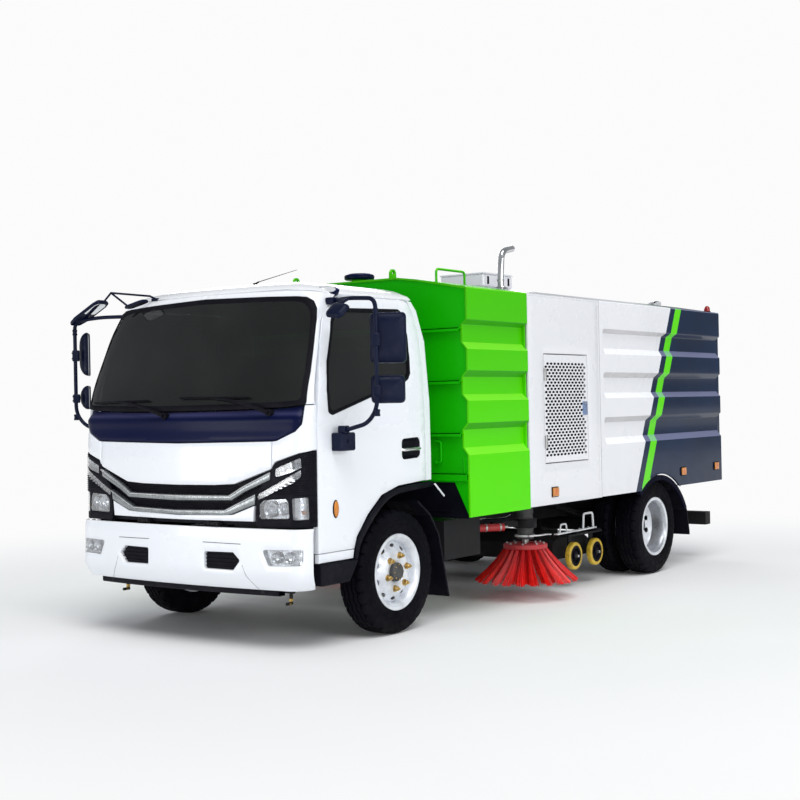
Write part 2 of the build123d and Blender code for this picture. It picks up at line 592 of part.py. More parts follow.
with BuildPart() as tail_lamps:
    for side in (1, -1):
        block(side * 560, side * 980, 4620, 4640, 318, 384)
save(tail_lamps.part, "tail_lamps")

# ---------------------------------------------------------------- steering knuckles and wheels
for side, word in ((1, "left"), (-1, "right")):
    with BuildPart() as knuckle:
        rod(side * KINGPIN_X, 0, TYRE_R, 24, 176)
        for z in (TYRE_R + 72, TYRE_R - 72):
            rod(side * KINGPIN_X, 0, z, 42, 32)
            block(side * KINGPIN_X, side * 846, -40, 40, z - 16, z + 16)
        block(side * 834, side * 852, -48, 48, TYRE_R - 88, TYRE_R + 88)
        rod(side * 890, 0, TYRE_R, 30, 90, "X")
        # steering arm to the rear
        block(side * 700, side * KINGPIN_X, 20, 50, TYRE_R - 88, TYRE_R - 62)
        block(side * 690, side * 720, 30, 190, TYRE_R - 88, TYRE_R - 62)
    save(knuckle.part, "knuckle_" + word)

# half tyre section, columns: distance from the tyre's middle, radius
TYRE_SECTION = ((73, 205.2), (73, 233), (88, 236), (95, 285), (91, 335), (78, 365), (46, TYRE_R))


def tyre_ring(x, y):
    """Tyre as a ring turned about a wheel axis at (x, station y)."""
    right = [(u, v) for u, v in TYRE_SECTION]
    outline = right + [(-u, v) for u, v in reversed(right)]
    with BuildSketch(Plane(origin=(x, FA + y, TYRE_R), x_dir=(1, 0, 0), z_dir=(0, -1, 0))) as ring:
        with BuildLine():
            Polyline(outline, close=True)
        make_face()
    revolve(ring.sketch, axis=Axis((x, FA + y, TYRE_R), (1, 0, 0)))


def turned(x, y, side, outline):
    """Turned piece: outline of (distance outwards from x, radius) points."""
    with BuildSketch(Plane(origin=(x, FA + y, TYRE_R), x_dir=(1, 0, 0), z_dir=(0, -1, 0))) as ring:
        with BuildLine():
            Polyline([(side * u, v) for u, v in outline], close=True)
        make_face()
    revolve(ring.sketch, axis=Axis((x, FA + y, TYRE_R), (1, 0, 0)))


FRONT_RIM = ((-86, 232), (-86, 186), (20, 186), (44, 146), (62, 124), (62, 80), (2, 80), (2, 30.08), (78, 30.08), (78, 1), (96, 1), (104, 40),
             (100, 62), (80, 76), (80, 128), (62, 152), (40, 192), (74, 192), (86, 214), (86, 232), (78, 232), (75, 205), (-75, 205), (-78, 232))
for side, word in ((1, "left"), (-1, "right")):
    with BuildPart() as tyre:
        tyre_ring(side * FRONT_TYRE_X, 0)
    save(tyre.part, "front_tyre_" + word)
    with BuildPart() as rim:
        turned(side * FRONT_TYRE_X, 0, side, FRONT_RIM)
    save(rim.part, "front_rim_" + word)

# both rims of a twin wheel with the hub between them, from x = 862 outwards
TWIN_RIM = ((-206, 232), (-206, 192), (-60, 192), (-44, 150), (-14, 130), (-14, 90), (-160, 86), (-160, 34.08), (62, 34.08), (62, 1), (92, 1), (92, 60), (70, 88),
            (14, 90), (14, 130), (44, 150), (60, 192), (194, 192), (206, 214), (206, 232), (198, 232), (195, 205), (45, 205), (42, 232), (34, 232), (30, 180),
            (12, 160), (-12, 160), (-30, 180), (-34, 232), (-42, 232), (-45, 205), (-195, 205), (-198, 232))
for side, word in ((1, "left"), (-1, "right")):
    with BuildPart() as twin_tyres:
        tyre_ring(side * TWIN_OUT_X, WHEELBASE)
        tyre_ring(side * TWIN_IN_X, WHEELBASE)
    save(twin_tyres.part, "rear_tyres_" + word)
    with BuildPart() as twin_rims:
        turned(side * 862, WHEELBASE, side, TWIN_RIM)
    save(twin_rims.part, "rear_rims_" + word)

# ---------------------------------------------------------------- side brushes
MOTOR_R = 64.0
for side, word in ((1, "left"), (-1, "right")):
    with BuildPart() as brush_arm:
        rod(side * ARM_X, ARM_Y, 554, 40, 118)
        with BuildSketch(Plane.XY.offset(512)):
            with BuildLine():
                Polyline([(side * 470, FA + 1270), (side * 520, FA + 1225), (side * 866, FA + 1655), (side * 806, FA + 1700)], close=True)
            make_face()
        extrude(amount=44)
        rod(side * BRUSH_X, BRUSH_Y, 534, 84, 64)
        rod(side * BRUSH_X, BRUSH_Y, 534, MOTOR_R + 0.08, 80, mode=Mode.SUBTRACT)
        rod(side * ARM_X, ARM_Y, 554, 14.08, 130, mode=Mode.SUBTRACT)
    save(brush_arm.part, "brush_arm_" + word)
    with BuildPart() as motor:
        rod(side * BRUSH_X, BRUSH_Y, (420 + 650) / 2, MOTOR_R, 230)
        rod(side * BRUSH_X, BRUSH_Y, 405, 24, 30)
    save(motor.part, "brush_motor_" + word)
    with BuildPart() as brush:
        rod(side * BRUSH_X, BRUSH_Y, 371, 158, 34)
        with Locations((side * BRUSH_X, FA + BRUSH_Y, (354 + 120) / 2)):
            Cone(375, 150, 234)
    save(brush.part, "side_brush_" + word)

# ---------------------------------------------------------------- suction gear
with BuildPart() as suction_duct:
    rod(DUCT_X, DUCT_Y, 712, 118, 204)
    rod(DUCT_X, DUCT_Y, 712, 110, 204, mode=Mode.SUBTRACT)
    block(-398, -318, DUCT_Y - 30, DUCT_Y + 30, 600, 642)
save(suction_duct.part, "suction_duct")

with BuildPart() as suction_nozzle:
    side_prism([(2180, 210), (2180, 330), (2300, 392), (2620, 392), (2740, 330), (2740, 210)], -790, 790)
    side_prism([(2196, 200), (2196, 322), (2304, 378), (2616, 378), (2724, 322), (2724, 200)], -776, 776, mode=Mode.SUBTRACT)
    rod(DUCT_X, DUCT_Y, 575, 102, 380)
    rod(DUCT_X, DUCT_Y, 560, 94, 440, mode=Mode.SUBTRACT)
    for side in (1, -1):
        block(side * 780, side * 900, 2230, 2760, 384, 398)
        for y in (2325, 2660):
            block(side * 846, side * 858, y - 26, y + 26, 214, 386)
            rod(side * 880, y, 236, 12, 56, "X")
save(suction_nozzle.part, "suction_nozzle")

for side, word in ((1, "left"), (-1, "right")):
    for y, place in ((2325, "front"), (2660, "rear")):
        with BuildPart() as caster:
            rod(side * 888, y, 236, 104, 44, "X")
            rod(side * 888, y, 236, 12.08, 44, "X", mode=Mode.SUBTRACT)
        save(caster.part, "caster_" + place + "_" + word)
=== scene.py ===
import bpy
import json
import math
import random
from mathutils import Vector, Matrix
from mathutils.geometry import delaunay_2d_cdt

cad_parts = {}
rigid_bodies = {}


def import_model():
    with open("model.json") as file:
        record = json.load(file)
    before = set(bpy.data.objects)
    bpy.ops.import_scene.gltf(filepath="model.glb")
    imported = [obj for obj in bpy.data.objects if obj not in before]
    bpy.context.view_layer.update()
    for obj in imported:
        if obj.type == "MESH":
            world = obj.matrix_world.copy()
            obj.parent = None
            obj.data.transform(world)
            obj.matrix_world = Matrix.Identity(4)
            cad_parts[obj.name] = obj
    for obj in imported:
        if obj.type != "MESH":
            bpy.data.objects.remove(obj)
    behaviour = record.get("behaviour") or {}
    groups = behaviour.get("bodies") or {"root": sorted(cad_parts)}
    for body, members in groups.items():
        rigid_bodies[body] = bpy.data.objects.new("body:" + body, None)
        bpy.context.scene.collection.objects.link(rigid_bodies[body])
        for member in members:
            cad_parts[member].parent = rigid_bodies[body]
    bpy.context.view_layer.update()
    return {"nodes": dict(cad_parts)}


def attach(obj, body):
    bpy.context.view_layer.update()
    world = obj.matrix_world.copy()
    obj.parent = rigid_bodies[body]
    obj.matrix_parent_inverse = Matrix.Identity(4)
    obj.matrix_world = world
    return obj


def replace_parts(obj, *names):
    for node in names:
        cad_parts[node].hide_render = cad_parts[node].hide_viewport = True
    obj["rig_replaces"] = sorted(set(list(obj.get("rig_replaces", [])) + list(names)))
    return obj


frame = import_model()
scene = bpy.context.scene
FA = -1.873                     # Y of the front axle; stations below are measured from it


def V(x, y, z):
    """A point from x, station and z."""
    return (x, FA + y, z)


# ---------------------------------------------------------------- camera, light, floor
YAW, PITCH, ROLL, FOCAL = .6290, .0026, -.0200, 1356.6231
cam_at = Vector((5.8663, -8.5762, 1.4092))
look = Vector((-math.sin(YAW) * math.cos(PITCH), math.cos(YAW) * math.cos(PITCH), math.sin(PITCH)))
right = Vector((math.cos(YAW), math.sin(YAW), 0))
up = right.cross(look)
R = right * math.cos(ROLL) + up * math.sin(ROLL)
U = up * math.cos(ROLL) - right * math.sin(ROLL)
cam_data = bpy.data.cameras.new("camera")
cam_data.lens = FOCAL * 36 / 800
cam_data.sensor_width = 36
cam_data.clip_end = 200
cam = bpy.data.objects.new("camera", cam_data)
m = Matrix((R, U, -look)).transposed().to_4x4()
m.translation = cam_at
cam.matrix_world = m
scene.collection.objects.link(cam)
scene.camera = cam


def area(name, at, to, sx, sy, power, color=(1, 1, 1)):
    d = bpy.data.lights.new(name, "AREA")
    d.shape = "RECTANGLE"
    d.size = sx
    d.size_y = sy
    d.energy = power
    d.color = color
    o = bpy.data.objects.new(name, d)
    o.location = at
    o.rotation_euler = (Vector(to) - Vector(at)).to_track_quat("-Z", "Y").to_euler()
    scene.collection.objects.link(o)
    return o


sun_data = bpy.data.lights.new("sun", "SUN")
sun_data.energy = 1.6
sun_data.angle = math.radians(38)
sun = bpy.data.objects.new("sun", sun_data)
sun.rotation_euler = Vector((-.50, .42, -1.15)).to_track_quat("-Z", "Y").to_euler()
scene.collection.objects.link(sun)
area("side_key", (10.0, -2.0, 3.7), (1.0, .6, 1.2), 9.0, 2.4, 290)
area("corner_fill", (8.5, -9.5, 1.0), (1.0, -2.4, .7), 4.0, 1.4, 130)
area("front_low", (-3.0, -10.5, 1.3), (0, -2.5, 1.0), 7.0, 1.8, 190)
area("rear", (-7.0, 8.0, 5.0), (0, 1, 1), 6.0, 4.0, 260)
world = bpy.data.worlds.new("world")
scene.world = world
world.use_nodes = True
wt = world.node_tree
bg = wt.nodes["Background"]
bg.inputs[0].default_value = (.90, .94, 1, 1)
bg.inputs[1].default_value = .36
clear = wt.nodes.new("ShaderNodeBackground")
clear.inputs[0].default_value = (1, 1, 1, 1)
clear.inputs[1].default_value = .97
path = wt.nodes.new("ShaderNodeLightPath")
both_ways = wt.nodes.new("ShaderNodeMixShader")
wt.links.new(path.outputs["Is Camera Ray"], both_ways.inputs[0])
wt.links.new(bg.outputs[0], both_ways.inputs[1])
wt.links.new(clear.outputs[0], both_ways.inputs[2])
wt.links.new(both_ways.outputs[0], wt.nodes["World Output"].inputs[0])
scene.view_settings.view_transform = "Standard"

# ---------------------------------------------------------------- materials


class Mat:
    """A small helper for building node materials."""

    def __init__(self, name, color=(.8, .8, .8), rough=.5, metal=0.0, **sockets):
        self.m = bpy.data.materials.new(name)
        self.m.use_nodes = True
        self.t = self.m.node_tree
        self.t.nodes.clear()
        self.out = self.node("ShaderNodeOutputMaterial")
        self.b = self.node("ShaderNodeBsdfPrincipled")
        self.link(self.b.outputs[0], self.out.inputs[0])
        self.b.inputs["Base Color"].default_value = (*color, 1)
        self.b.inputs["Roughness"].default_value = rough
        self.b.inputs["Metallic"].default_value = metal
        for k, v in sockets.items():
            self.b.inputs[k.replace("_", " ")].default_value = v
        self.pos = self.node("ShaderNodeTexCoord").outputs["Object"]

    def node(self, kind, **props):
        n = self.t.nodes.new(kind)
        for k, v in props.items():
            setattr(n, k, v)
        return n

    def link(self, a, b):
        self.t.links.new(a, b)

    def value(self, sock, v):
        if isinstance(v, (int, float)):
            sock.default_value = v
        elif isinstance(v, tuple):
            sock.default_value = v if len(v) == len(sock.default_value) else (*v, 1)
        else:
            self.link(v, sock)

    def math(self, op, a, b=0.0, c=None, clamp=False):
        n = self.node("ShaderNodeMath", operation=op, use_clamp=clamp)
        self.value(n.inputs[0], a)
        self.value(n.inputs[1], b)
        if c is not None:
            self.value(n.inputs[2], c)
        return n.outputs[0]

    def noise(self, scale, detail=3, stretch=(1, 1, 1), rough=.55):
        mp = self.node("ShaderNodeMapping")
        mp.inputs["Scale"].default_value = stretch
        self.link(self.pos, mp.inputs[0])
        n = self.node("ShaderNodeTexNoise")
        n.inputs["Scale"].default_value = scale
        n.inputs["Detail"].default_value = detail
        n.inputs["Roughness"].default_value = rough
        self.link(mp.outputs[0], n.inputs["Vector"])
        return n.outputs[0]

    def ramp(self, fac, a, b, lo=0.0, hi=1.0):
        n = self.node("ShaderNodeMapRange", interpolation_type="SMOOTHSTEP")
        self.value(n.inputs[0], fac)
        n.inputs[1].default_value, n.inputs[2].default_value = lo, hi
        n.inputs[3].default_value, n.inputs[4].default_value = a, b
        return n.outputs[0]

    def mix(self, fac, a, b, mode="MIX"):
        n = self.node("ShaderNodeMix", data_type="RGBA", blend_type=mode)
        self.value(n.inputs[0], fac)
        self.value(n.inputs[6], a)
        self.value(n.inputs[7], b)
        return n.outputs[2]

    def bump(self, height, strength=.2, dist=.002):
        n = self.node("ShaderNodeBump")
        n.inputs["Strength"].default_value = strength
        n.inputs["Distance"].default_value = dist
        self.link(height, n.inputs["Height"])
        self.link(n.outputs[0], self.b.inputs["Normal"])

    def xyz(self):
        n = self.node("ShaderNodeSeparateXYZ")
        self.link(self.pos, n.inputs[0])
        return n.outputs

    def color(self, c):
        self.value(self.b.inputs["Base Color"], c)

    def rough(self, r):
        self.value(self.b.inputs["Roughness"], r)


def paint(name, color, rough=.28, coat=.5, dust=.10, peel=.05, spec=.5, up=None, under=None, crown=None, top_shade=None):
    """Glossy vehicle paint: faint colour drift, road dust low down, orange peel; where asked, painted highlight on
    faces that look up, painted shade on downward faces and painted shade towards the top.
    """
    p = Mat(name, color, rough, Coat_Weight=coat, Coat_Roughness=.06, Specular_IOR_Level=spec)
    drift = p.ramp(p.noise(1.1, 2), 0, 1, .25, .75)
    shade = tuple(c * .985 for c in color)
    c = p.mix(drift, (*shade, 1), (*color, 1))
    z = p.xyz()[2]
    # painted shade: the colour darkens towards the top
    if top_shade:
        c = p.mix(p.ramp(z, 0, top_shade[1], .75, 2.15), c, (*top_shade[0], 1))
    if up or under or crown:
        # painted highlight on faces that look up, painted shade on the pressed ribs' lower faces
        nrm = p.node("ShaderNodeSeparateXYZ")
        p.link(p.node("ShaderNodeTexCoord").outputs["Normal"], nrm.inputs[0])
        nz = nrm.outputs[2]
        if up:
            c = p.mix(p.math("MULTIPLY", p.ramp(nz, 0, up[1], .25, .45), p.ramp(nz, 1, 0, .84, .94)), c, (*up[0], 1))
        if under:
            c = p.mix(p.math("MULTIPLY", p.ramp(nz, under[1], 0, -.45, -.25), p.ramp(nz, 0, 1, -.94, -.84)), c, (*under[0], 1))
        if crown:
            c = p.mix(p.ramp(nz, 0, crown[1], .35, .80), c, (*crown[0], 1))
    low = p.ramp(z, 1, 0, .15, .95)
    film = p.math("MULTIPLY", p.math("MULTIPLY", low, p.ramp(p.noise(5, 3), .3, 1, .2, .8)), dust)
    c = p.mix(film, c, (.20, .19, .175, 1))
    p.color(c)
    p.rough(p.math("ADD", p.math("MULTIPLY", film, 1.2), p.ramp(p.noise(3, 3), rough - .03, rough + .03, .3, .7)))
    p.bump(p.noise(420, 1), peel * .4, .0004)
    return p


def plastic(name, color, rough=.55, grain=260, strength=.25, edge=.06, spec=.32):
    p = Mat(name, color, rough, Specular_IOR_Level=spec)
    worn = p.ramp(p.noise(6, 5), 0, 1, .4, .7)
    light = tuple(min(1, c * 1.4 + edge * .12) for c in color)
    p.color(p.mix(p.math("MULTIPLY", worn, .35), (*color, 1), (*light, 1)))
    p.rough(p.ramp(p.noise(30, 4), rough - .08, rough + .1, .3, .7))
    p.bump(p.noise(grain, 2), strength, .0008)
    return p


def metal(name, color, rough=.3, scratch=.15, stretch=(1, 1, 1), amount=1.0):
    p = Mat(name, color, rough, amount)
    dark = tuple(c * .75 for c in color)
    p.color(p.mix(p.ramp(p.noise(11, 4), 0, 1, .35, .7), (*color, 1), (*dark, 1)))
    p.rough(p.ramp(p.noise(90, 4, stretch), rough - .08, rough + .14, .3, .7))
    p.bump(p.noise(300, 2, stretch), scratch, .0005)
    return p


# crown and up colours below are painted highlight on faces that look up; under and the darkening towards the top are
# painted shade
WHITE = paint("cab_white", (.81, .84, .89), dust=.06, crown=((.97, .98, 1.0), .9))
BODYWHITE = paint("body_white", (.76, .77, .80), dust=.07)
GREEN = paint("body_green", (.095, .70, .000), rough=.42, coat=.04, dust=.02, spec=.10, up=((.26, .86, .04), .55), under=((.022, .30, .0), .8), top_shade=((.05, .46, .0), .85))
# the tank's front wall: the same green darkened as painted shade
SHADED_WALL_GREEN = paint("wall_green_shaded", (.006, .46, .000), rough=.45, coat=.03, dust=.01, spec=.08)
BLACK = plastic("trim_black", (.003, .003, .007), .5, spec=.10)
NAVY = paint("navy_gloss", (.0015, .004, .032), rough=.32, coat=.02, dust=.01, spec=.09, crown=((.09, .09, .22), .5))
SATIN = paint("frame_black", (.009, .009, .011), rough=.5, coat=.0, dust=.08, spec=.12)
GREY = plastic("interior_grey", (.07, .07, .075), .6)
RUBBER_SEAL = plastic("seal_black", (.003, .003, .006), .6, 120, .08, spec=.10)
MIRROR_BLACK = plastic("mirror_black", (.003, .006, .024), .38, 500, .06, spec=.12)
CHROME = metal("chrome", (.80, .80, .80), .09, .03)
GRILLE = metal("grille_grey", (.30, .32, .33), .24, .05, amount=.85)
STEEL = metal("galvanised", (.55, .56, .55), .38)
IRON = metal("cast_iron", (.10, .10, .10), .62, .5, amount=.55)
GOLD = metal("nut_gold", (.62, .43, .16), .33, .1)
BRASS = metal("brass", (.62, .42, .12), .28, .1)
RIM = metal("wheel_silver", (.80, .83, .88), .36, .04, amount=.40)
# darker copy of the wheel silver: painted shade inside the rear barrels
RIM_SHADED = metal("wheel_silver_barrel_shaded", (.50, .52, .56), .34, .04, amount=.75)
RED = paint("red_paint", (.55, .012, .015), rough=.35, dust=.1)
MIRROR = Mat("mirror_face", (.8, .82, .84), .03, 1.0)
MIRROR.rough(MIRROR.ramp(MIRROR.noise(14, 3), .02, .06, .3, .7))


def lens(name, color, rough=.12, trans=.35, ridge=None, strength=.3):
    p = Mat(name, color, rough, Transmission_Weight=trans, IOR=1.49, Coat_Weight=.6)
    p.color(p.mix(p.ramp(p.noise(40, 2), 0, .5, .3, .7), (*color, 1), tuple(c * .7 for c in color) + (1,)))
    if ridge:
        w = p.node("ShaderNodeTexWave", bands_direction=ridge)
        w.inputs["Scale"].default_value = 70
        p.link(p.pos, w.inputs[0])
        p.bump(w.outputs[1], strength, .002)
    return p


AMBER = lens("lamp_amber", (.95, .32, .01), ridge="Z")
REDLENS = lens("lamp_red", (.55, .008, .008), ridge="Z")
CLEARLENS = lens("lamp_clear", (.85, .87, .9), trans=.9, rough=.05)
WHITELENS = lens("lamp_white", (.82, .84, .86), trans=.25, ridge="Z")
REFLECTOR = metal("lamp_reflector", (.78, .80, .82), .12, .0)
GLASS = Mat("glass_dark", (.030, .033, .032), .03, Transmission_Weight=.80, IOR=1.45, Specular_IOR_Level=.26)
GLASS.color(GLASS.mix(GLASS.ramp(GLASS.noise(2.1, 2), 0, 1, .3, .7), (.035, .038, .036, 1), (.055, .058, .055, 1)))
GLASS.rough(GLASS.ramp(GLASS.noise(6, 4), .02, .05, .3, .7))

LOCKBLUE = metal("lock_blue_grey", (.22, .30, .48), .32, .1, amount=.6)
AMBERDARK = lens("lamp_amber_dark", (.75, .13, .005), trans=.2, ridge="Z")


def banded(name, white, navy, green, rough=.16):
    """Hopper paint: white ahead of a slanted edge, dark blue behind it with one green band."""
    p = Mat(name, navy, rough, Coat_Weight=.05, Coat_Roughness=.05, Specular_IOR_Level=.13)
    x, y, z = p.xyz()
    edge = p.math("MULTIPLY_ADD", z, -.4763, p.math("ADD", y, -(FA + 2.931 - .4763 * .694)))
    ahead = p.math("LESS_THAN", edge, 0.0)
    band = p.math("MULTIPLY", p.math("GREATER_THAN", edge, .092), p.math("LESS_THAN", edge, .205))
    drift = p.ramp(p.noise(1.7, 2), 0, 1, .3, .7)
    deep = p.mix(drift, (*navy, 1), tuple(c * 1.35 for c in navy) + (1,))
    c = p.mix(band, deep, (*green, 1))
    c = p.mix(ahead, c, p.mix(drift, (*white, 1), tuple(q * .975 for q in white) + (1,)))
    low = p.ramp(z, 1, 0, .65, 1.15)
    film = p.math("MULTIPLY", p.math("MULTIPLY", low, p.ramp(p.noise(9, 5), 0, 1, .35, .75)), .05)
    # painted highlight on the ribs' upward shoulders, painted shade on their downward faces
    nrm = p.node("ShaderNodeSeparateXYZ")
    p.link(p.node("ShaderNodeTexCoord").outputs["Normal"], nrm.inputs[0])
    shoulder = p.math("MULTIPLY", p.ramp(nrm.outputs[2], 0, 1, .25, .45), p.ramp(nrm.outputs[2], 1, 0, .84, .94))
    under = p.math("MULTIPLY", p.ramp(nrm.outputs[2], 1, 0, -.45, -.25), p.ramp(nrm.outputs[2], 0, 1, -.94, -.84))
    c = p.mix(p.math("MULTIPLY", shoulder, p.ramp(ahead, .40, 0.0)), c, (.36, .38, .62, 1))
    c = p.mix(p.math("MULTIPLY", shoulder, p.ramp(ahead, 0.0, .85)), c, (.93, .94, .96, 1))
    c = p.mix(p.math("MULTIPLY", under, p.ramp(ahead, 0.0, .9)), c, (.52, .51, .52, 1))
    p.color(p.mix(film, c, (.20, .19, .175, 1)))
    p.rough(p.math("ADD", p.ramp(ahead, rough, .28), p.ramp(p.noise(3, 3), -.02, .03, .3, .7)))
    p.bump(p.noise(420, 1), .02, .0004)
    return p


HOPPERPAINT = banded("hopper_paint", (.76, .77, .80), (.001, .011, .038), (.110, .70, .000))
GATEPAINT = paint("gate_navy", (.002, .014, .046), rough=.2, coat=.05, dust=.02, spec=.14)

# ---------------------------------------------------------------- mesh helpers


class B:
    """Collects faces of one piece."""

    def __init__(self):
        self.v, self.f, self.m = [], [], []

    def add(self, v, f, m=0):
        n = len(self.v)
        self.v += [tuple(p) for p in v]
        self.f += [tuple(i + n for i in q) for q in f]
        self.m += [m] * len(f)

    def box(self, x0, x1, y0, y1, z0, z1, m=0, ch=.002):
        """Chamfered box; y are stations."""
        lo = (min(x0, x1), FA + min(y0, y1), min(z0, z1))
        hi = (max(x0, x1), FA + max(y0, y1), max(z0, z1))
        c = min(ch, *[(hi[i] - lo[i]) * .3 for i in range(3)])
        v, key = [], {}
        for sx in (0, 1):
            for sy in (0, 1):
                for sz in (0, 1):
                    corner = [(lo, hi)[s][i] for i, s in enumerate((sx, sy, sz))]
                    for a in range(3):
                        p = list(corner)
                        for i, s in enumerate((sx, sy, sz)):
                            if i != a:
                                p[i] += c if s == 0 else -c
                        key[(sx, sy, sz, a)] = len(v)
                        v.append(p)
        f = []
        for a in range(3):
            b, d = (a + 1) % 3, (a + 2) % 3
            for s in (0, 1):
                q = []
                for sb, sd in ((0, 0), (1, 0), (1, 1), (0, 1)):
                    k = [0, 0, 0]
                    k[a], k[b], k[d] = s, sb, sd
                    q.append(key[(*k, a)])
                f.append(q if s else q[::-1])
            for sb in (0, 1):
                for sd in (0, 1):
                    k0, k1 = [0, 0, 0], [0, 0, 0]
                    k0[b] = k1[b] = sb
                    k0[d] = k1[d] = sd
                    k1[a] = 1
                    q = [key[(*k0, b)], key[(*k1, b)], key[(*k1, d)], key[(*k0, d)]]
                    f.append(q if (sb + sd) % 2 else q[::-1])
        for sx in (0, 1):
            for sy in (0, 1):
                for sz in (0, 1):
                    q = [key[(sx, sy, sz, a)] for a in range(3)]
                    f.append(q if (sx + sy + sz) % 2 else q[::-1])
        self.add(v, f, m)

    def rings(self, rings, m=0, closed=True, cap0=False, cap1=False):
        """Skin between rings of equally many points."""
        n = len(rings[0])
        v = [p for r in rings for p in r]
        f = []
        last = n if closed else n - 1
        for k in range(len(rings) - 1):
            for i in range(last):
                j = (i + 1) % n
                f.append((k * n + i, k * n + j, (k + 1) * n + j, (k + 1) * n + i))
        if cap0:
            f.append(tuple(range(n))[::-1])
        if cap1:
            f.append(tuple(range((len(rings) - 1) * n, len(rings) * n)))
        self.add(v, f, m)

    def lathe(self, prof, centre, axis="X", m=0, n=64, cap0=False, cap1=False, start=0.0, sweep=2 * math.pi):
        """Turn (along, radius) pairs about an axis through centre (x, station, z)."""
        cx, cy, cz = V(*centre)
        rings = []
        full = sweep > 6.28
        for a, r in prof:
            ring = []
            for i in range(n if full else n + 1):
                t = start + sweep * i / n
                u, w = r * math.cos(t), r * math.sin(t)
                ring.append({"X": (cx + a, cy + u, cz + w), "Y": (cx + w, cy + a, cz + u), "Z": (cx + u, cy + w, cz + a)}[axis])
            rings.append(ring)
        self.rings(rings, m, full, cap0, cap1)

    def cyl(self, centre, r, h, axis="Z", m=0, n=32, ch=.0015, r2=None):
        r2 = r if r2 is None else r2
        c = min(ch, h * .3, r * .4)
        self.lathe([(-h / 2, r - c), (-h / 2 + c, r), (h / 2 - c, r2), (h / 2, r2 - c)], centre, axis, m, n, True, True)

    def tube(self, pts, r, m=0, n=12, closed=False, radii=None, flat=None):
        """Round tube along world points given as (x, station, z)."""
        P = [Vector(V(*p)) for p in pts]
        k = len(P)
        rings = []
        prev = None
        for i in range(k):
            a = P[(i - 1) % k] if (i > 0 or closed) else P[i]
            b = P[(i + 1) % k] if (i < k - 1 or closed) else P[i]
            d = (b - a).normalized()
            if prev is None:
                ref = Vector((0, 0, 1)) if abs(d.z) < .9 else Vector((1, 0, 0))
                nrm = d.cross(ref).normalized()
            else:
                nrm = (prev - d * prev.dot(d)).normalized()
            prev = nrm
            bi = d.cross(nrm)
            rr = radii[i] if radii else r
            ra, rb = (rr, rr) if flat is None else (rr, rr * flat)
            rings.append([tuple(P[i] + nrm * (ra * math.cos(2 * math.pi * j / n)) + bi * (rb * math.sin(2 * math.pi * j / n))) for j in range(n)])
        if closed:
            rings.append(rings[0])
        self.rings(rings, m, True, not closed, not closed)

    def prism(self, pts, axis, a, b, m=0, ch=0.0):
        """Extrude a 2-D outline between a and b along an axis; outline is (y,z), (x,z) or (x,y), y being stations."""
        area2 = sum(pts[i - 1][0] * pts[i][1] - pts[i][0] * pts[i - 1][1] for i in range(len(pts)))
        if area2 < 0:
            pts = pts[::-1]
        def lift(q, w):
            if axis == "X":
                return (w, FA + q[0], q[1])
            if axis == "Y":
                return (q[0], FA + w, q[1])
            return (q[0], FA + q[1], w)
        flip = axis == "Y"
        lo, hi = min(a, b), max(a, b)
        if ch > 0:
            inner = inset(pts, ch)
            rings = [[lift(p, lo) for p in inner], [lift(p, lo + ch) for p in pts], [lift(p, hi - ch) for p in pts], [lift(p, hi) for p in inner]]
        else:
            rings = [[lift(p, lo) for p in pts], [lift(p, hi) for p in pts]]
        if flip:
            rings = rings[::-1]
        self.rings(rings, m, True, True, True)

    def done(self, name, mats, body, rep=(), sharp=32, bevel=0, segments=2, subsurf=0, normals=True):
        me = bpy.data.meshes.new(name)
        me.from_pydata(self.v, [], self.f)
        if not isinstance(mats, (list, tuple)):
            mats = [mats]
        for mt in mats:
            me.materials.append(mt.m)
        me.polygons.foreach_set("material_index", self.m)
        if normals:
            import bmesh
            bm = bmesh.new()
            bm.from_mesh(me)
            bmesh.ops.remove_doubles(bm, verts=bm.verts, dist=1e-6)
            bmesh.ops.dissolve_degenerate(bm, edges=bm.edges, dist=1e-7)
            bmesh.ops.recalc_face_normals(bm, faces=bm.faces)
            bm.to_mesh(me)
            bm.free()
        me.polygons.foreach_set("use_smooth", [True] * len(me.polygons))
        me.set_sharp_from_angle(angle=math.radians(sharp))
        me.update()
        o = bpy.data.objects.new(name, me)
        scene.collection.objects.link(o)
        if subsurf:
            sm = o.modifiers.new("subsurf", "SUBSURF")
            sm.levels = sm.render_levels = subsurf
        if bevel:
            bv = o.modifiers.new("bevel", "BEVEL")
            bv.width = bevel
            bv.segments = segments
            bv.limit_method = "ANGLE"
            bv.angle_limit = math.radians(35)
            bv.harden_normals = True
        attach(o, body)
        if rep:
            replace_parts(o, *rep)
        return o


def inset(pts, d):
    """Outline moved inwards by d along its corner normals (outline runs anticlockwise)."""
    out = []
    n = len(pts)
    for i in range(n):
        p0, p1, p2 = Vector(pts[i - 1]), Vector(pts[i]), Vector(pts[(i + 1) % n])
        a, b = (p1 - p0), (p2 - p1)
        if a.length < 1e-9 or b.length < 1e-9:
            out.append(tuple(p1))
            continue
        a.normalize()
        b.normalize()
        na, nb = Vector((-a.y, a.x)), Vector((-b.y, b.x))
        w = na + nb
        if w.length < 1e-6:
            w = na
        w = w / max(.35, w.dot(na)) if w.length > 0 else na
        out.append(tuple(p1 + w * d))
    return out


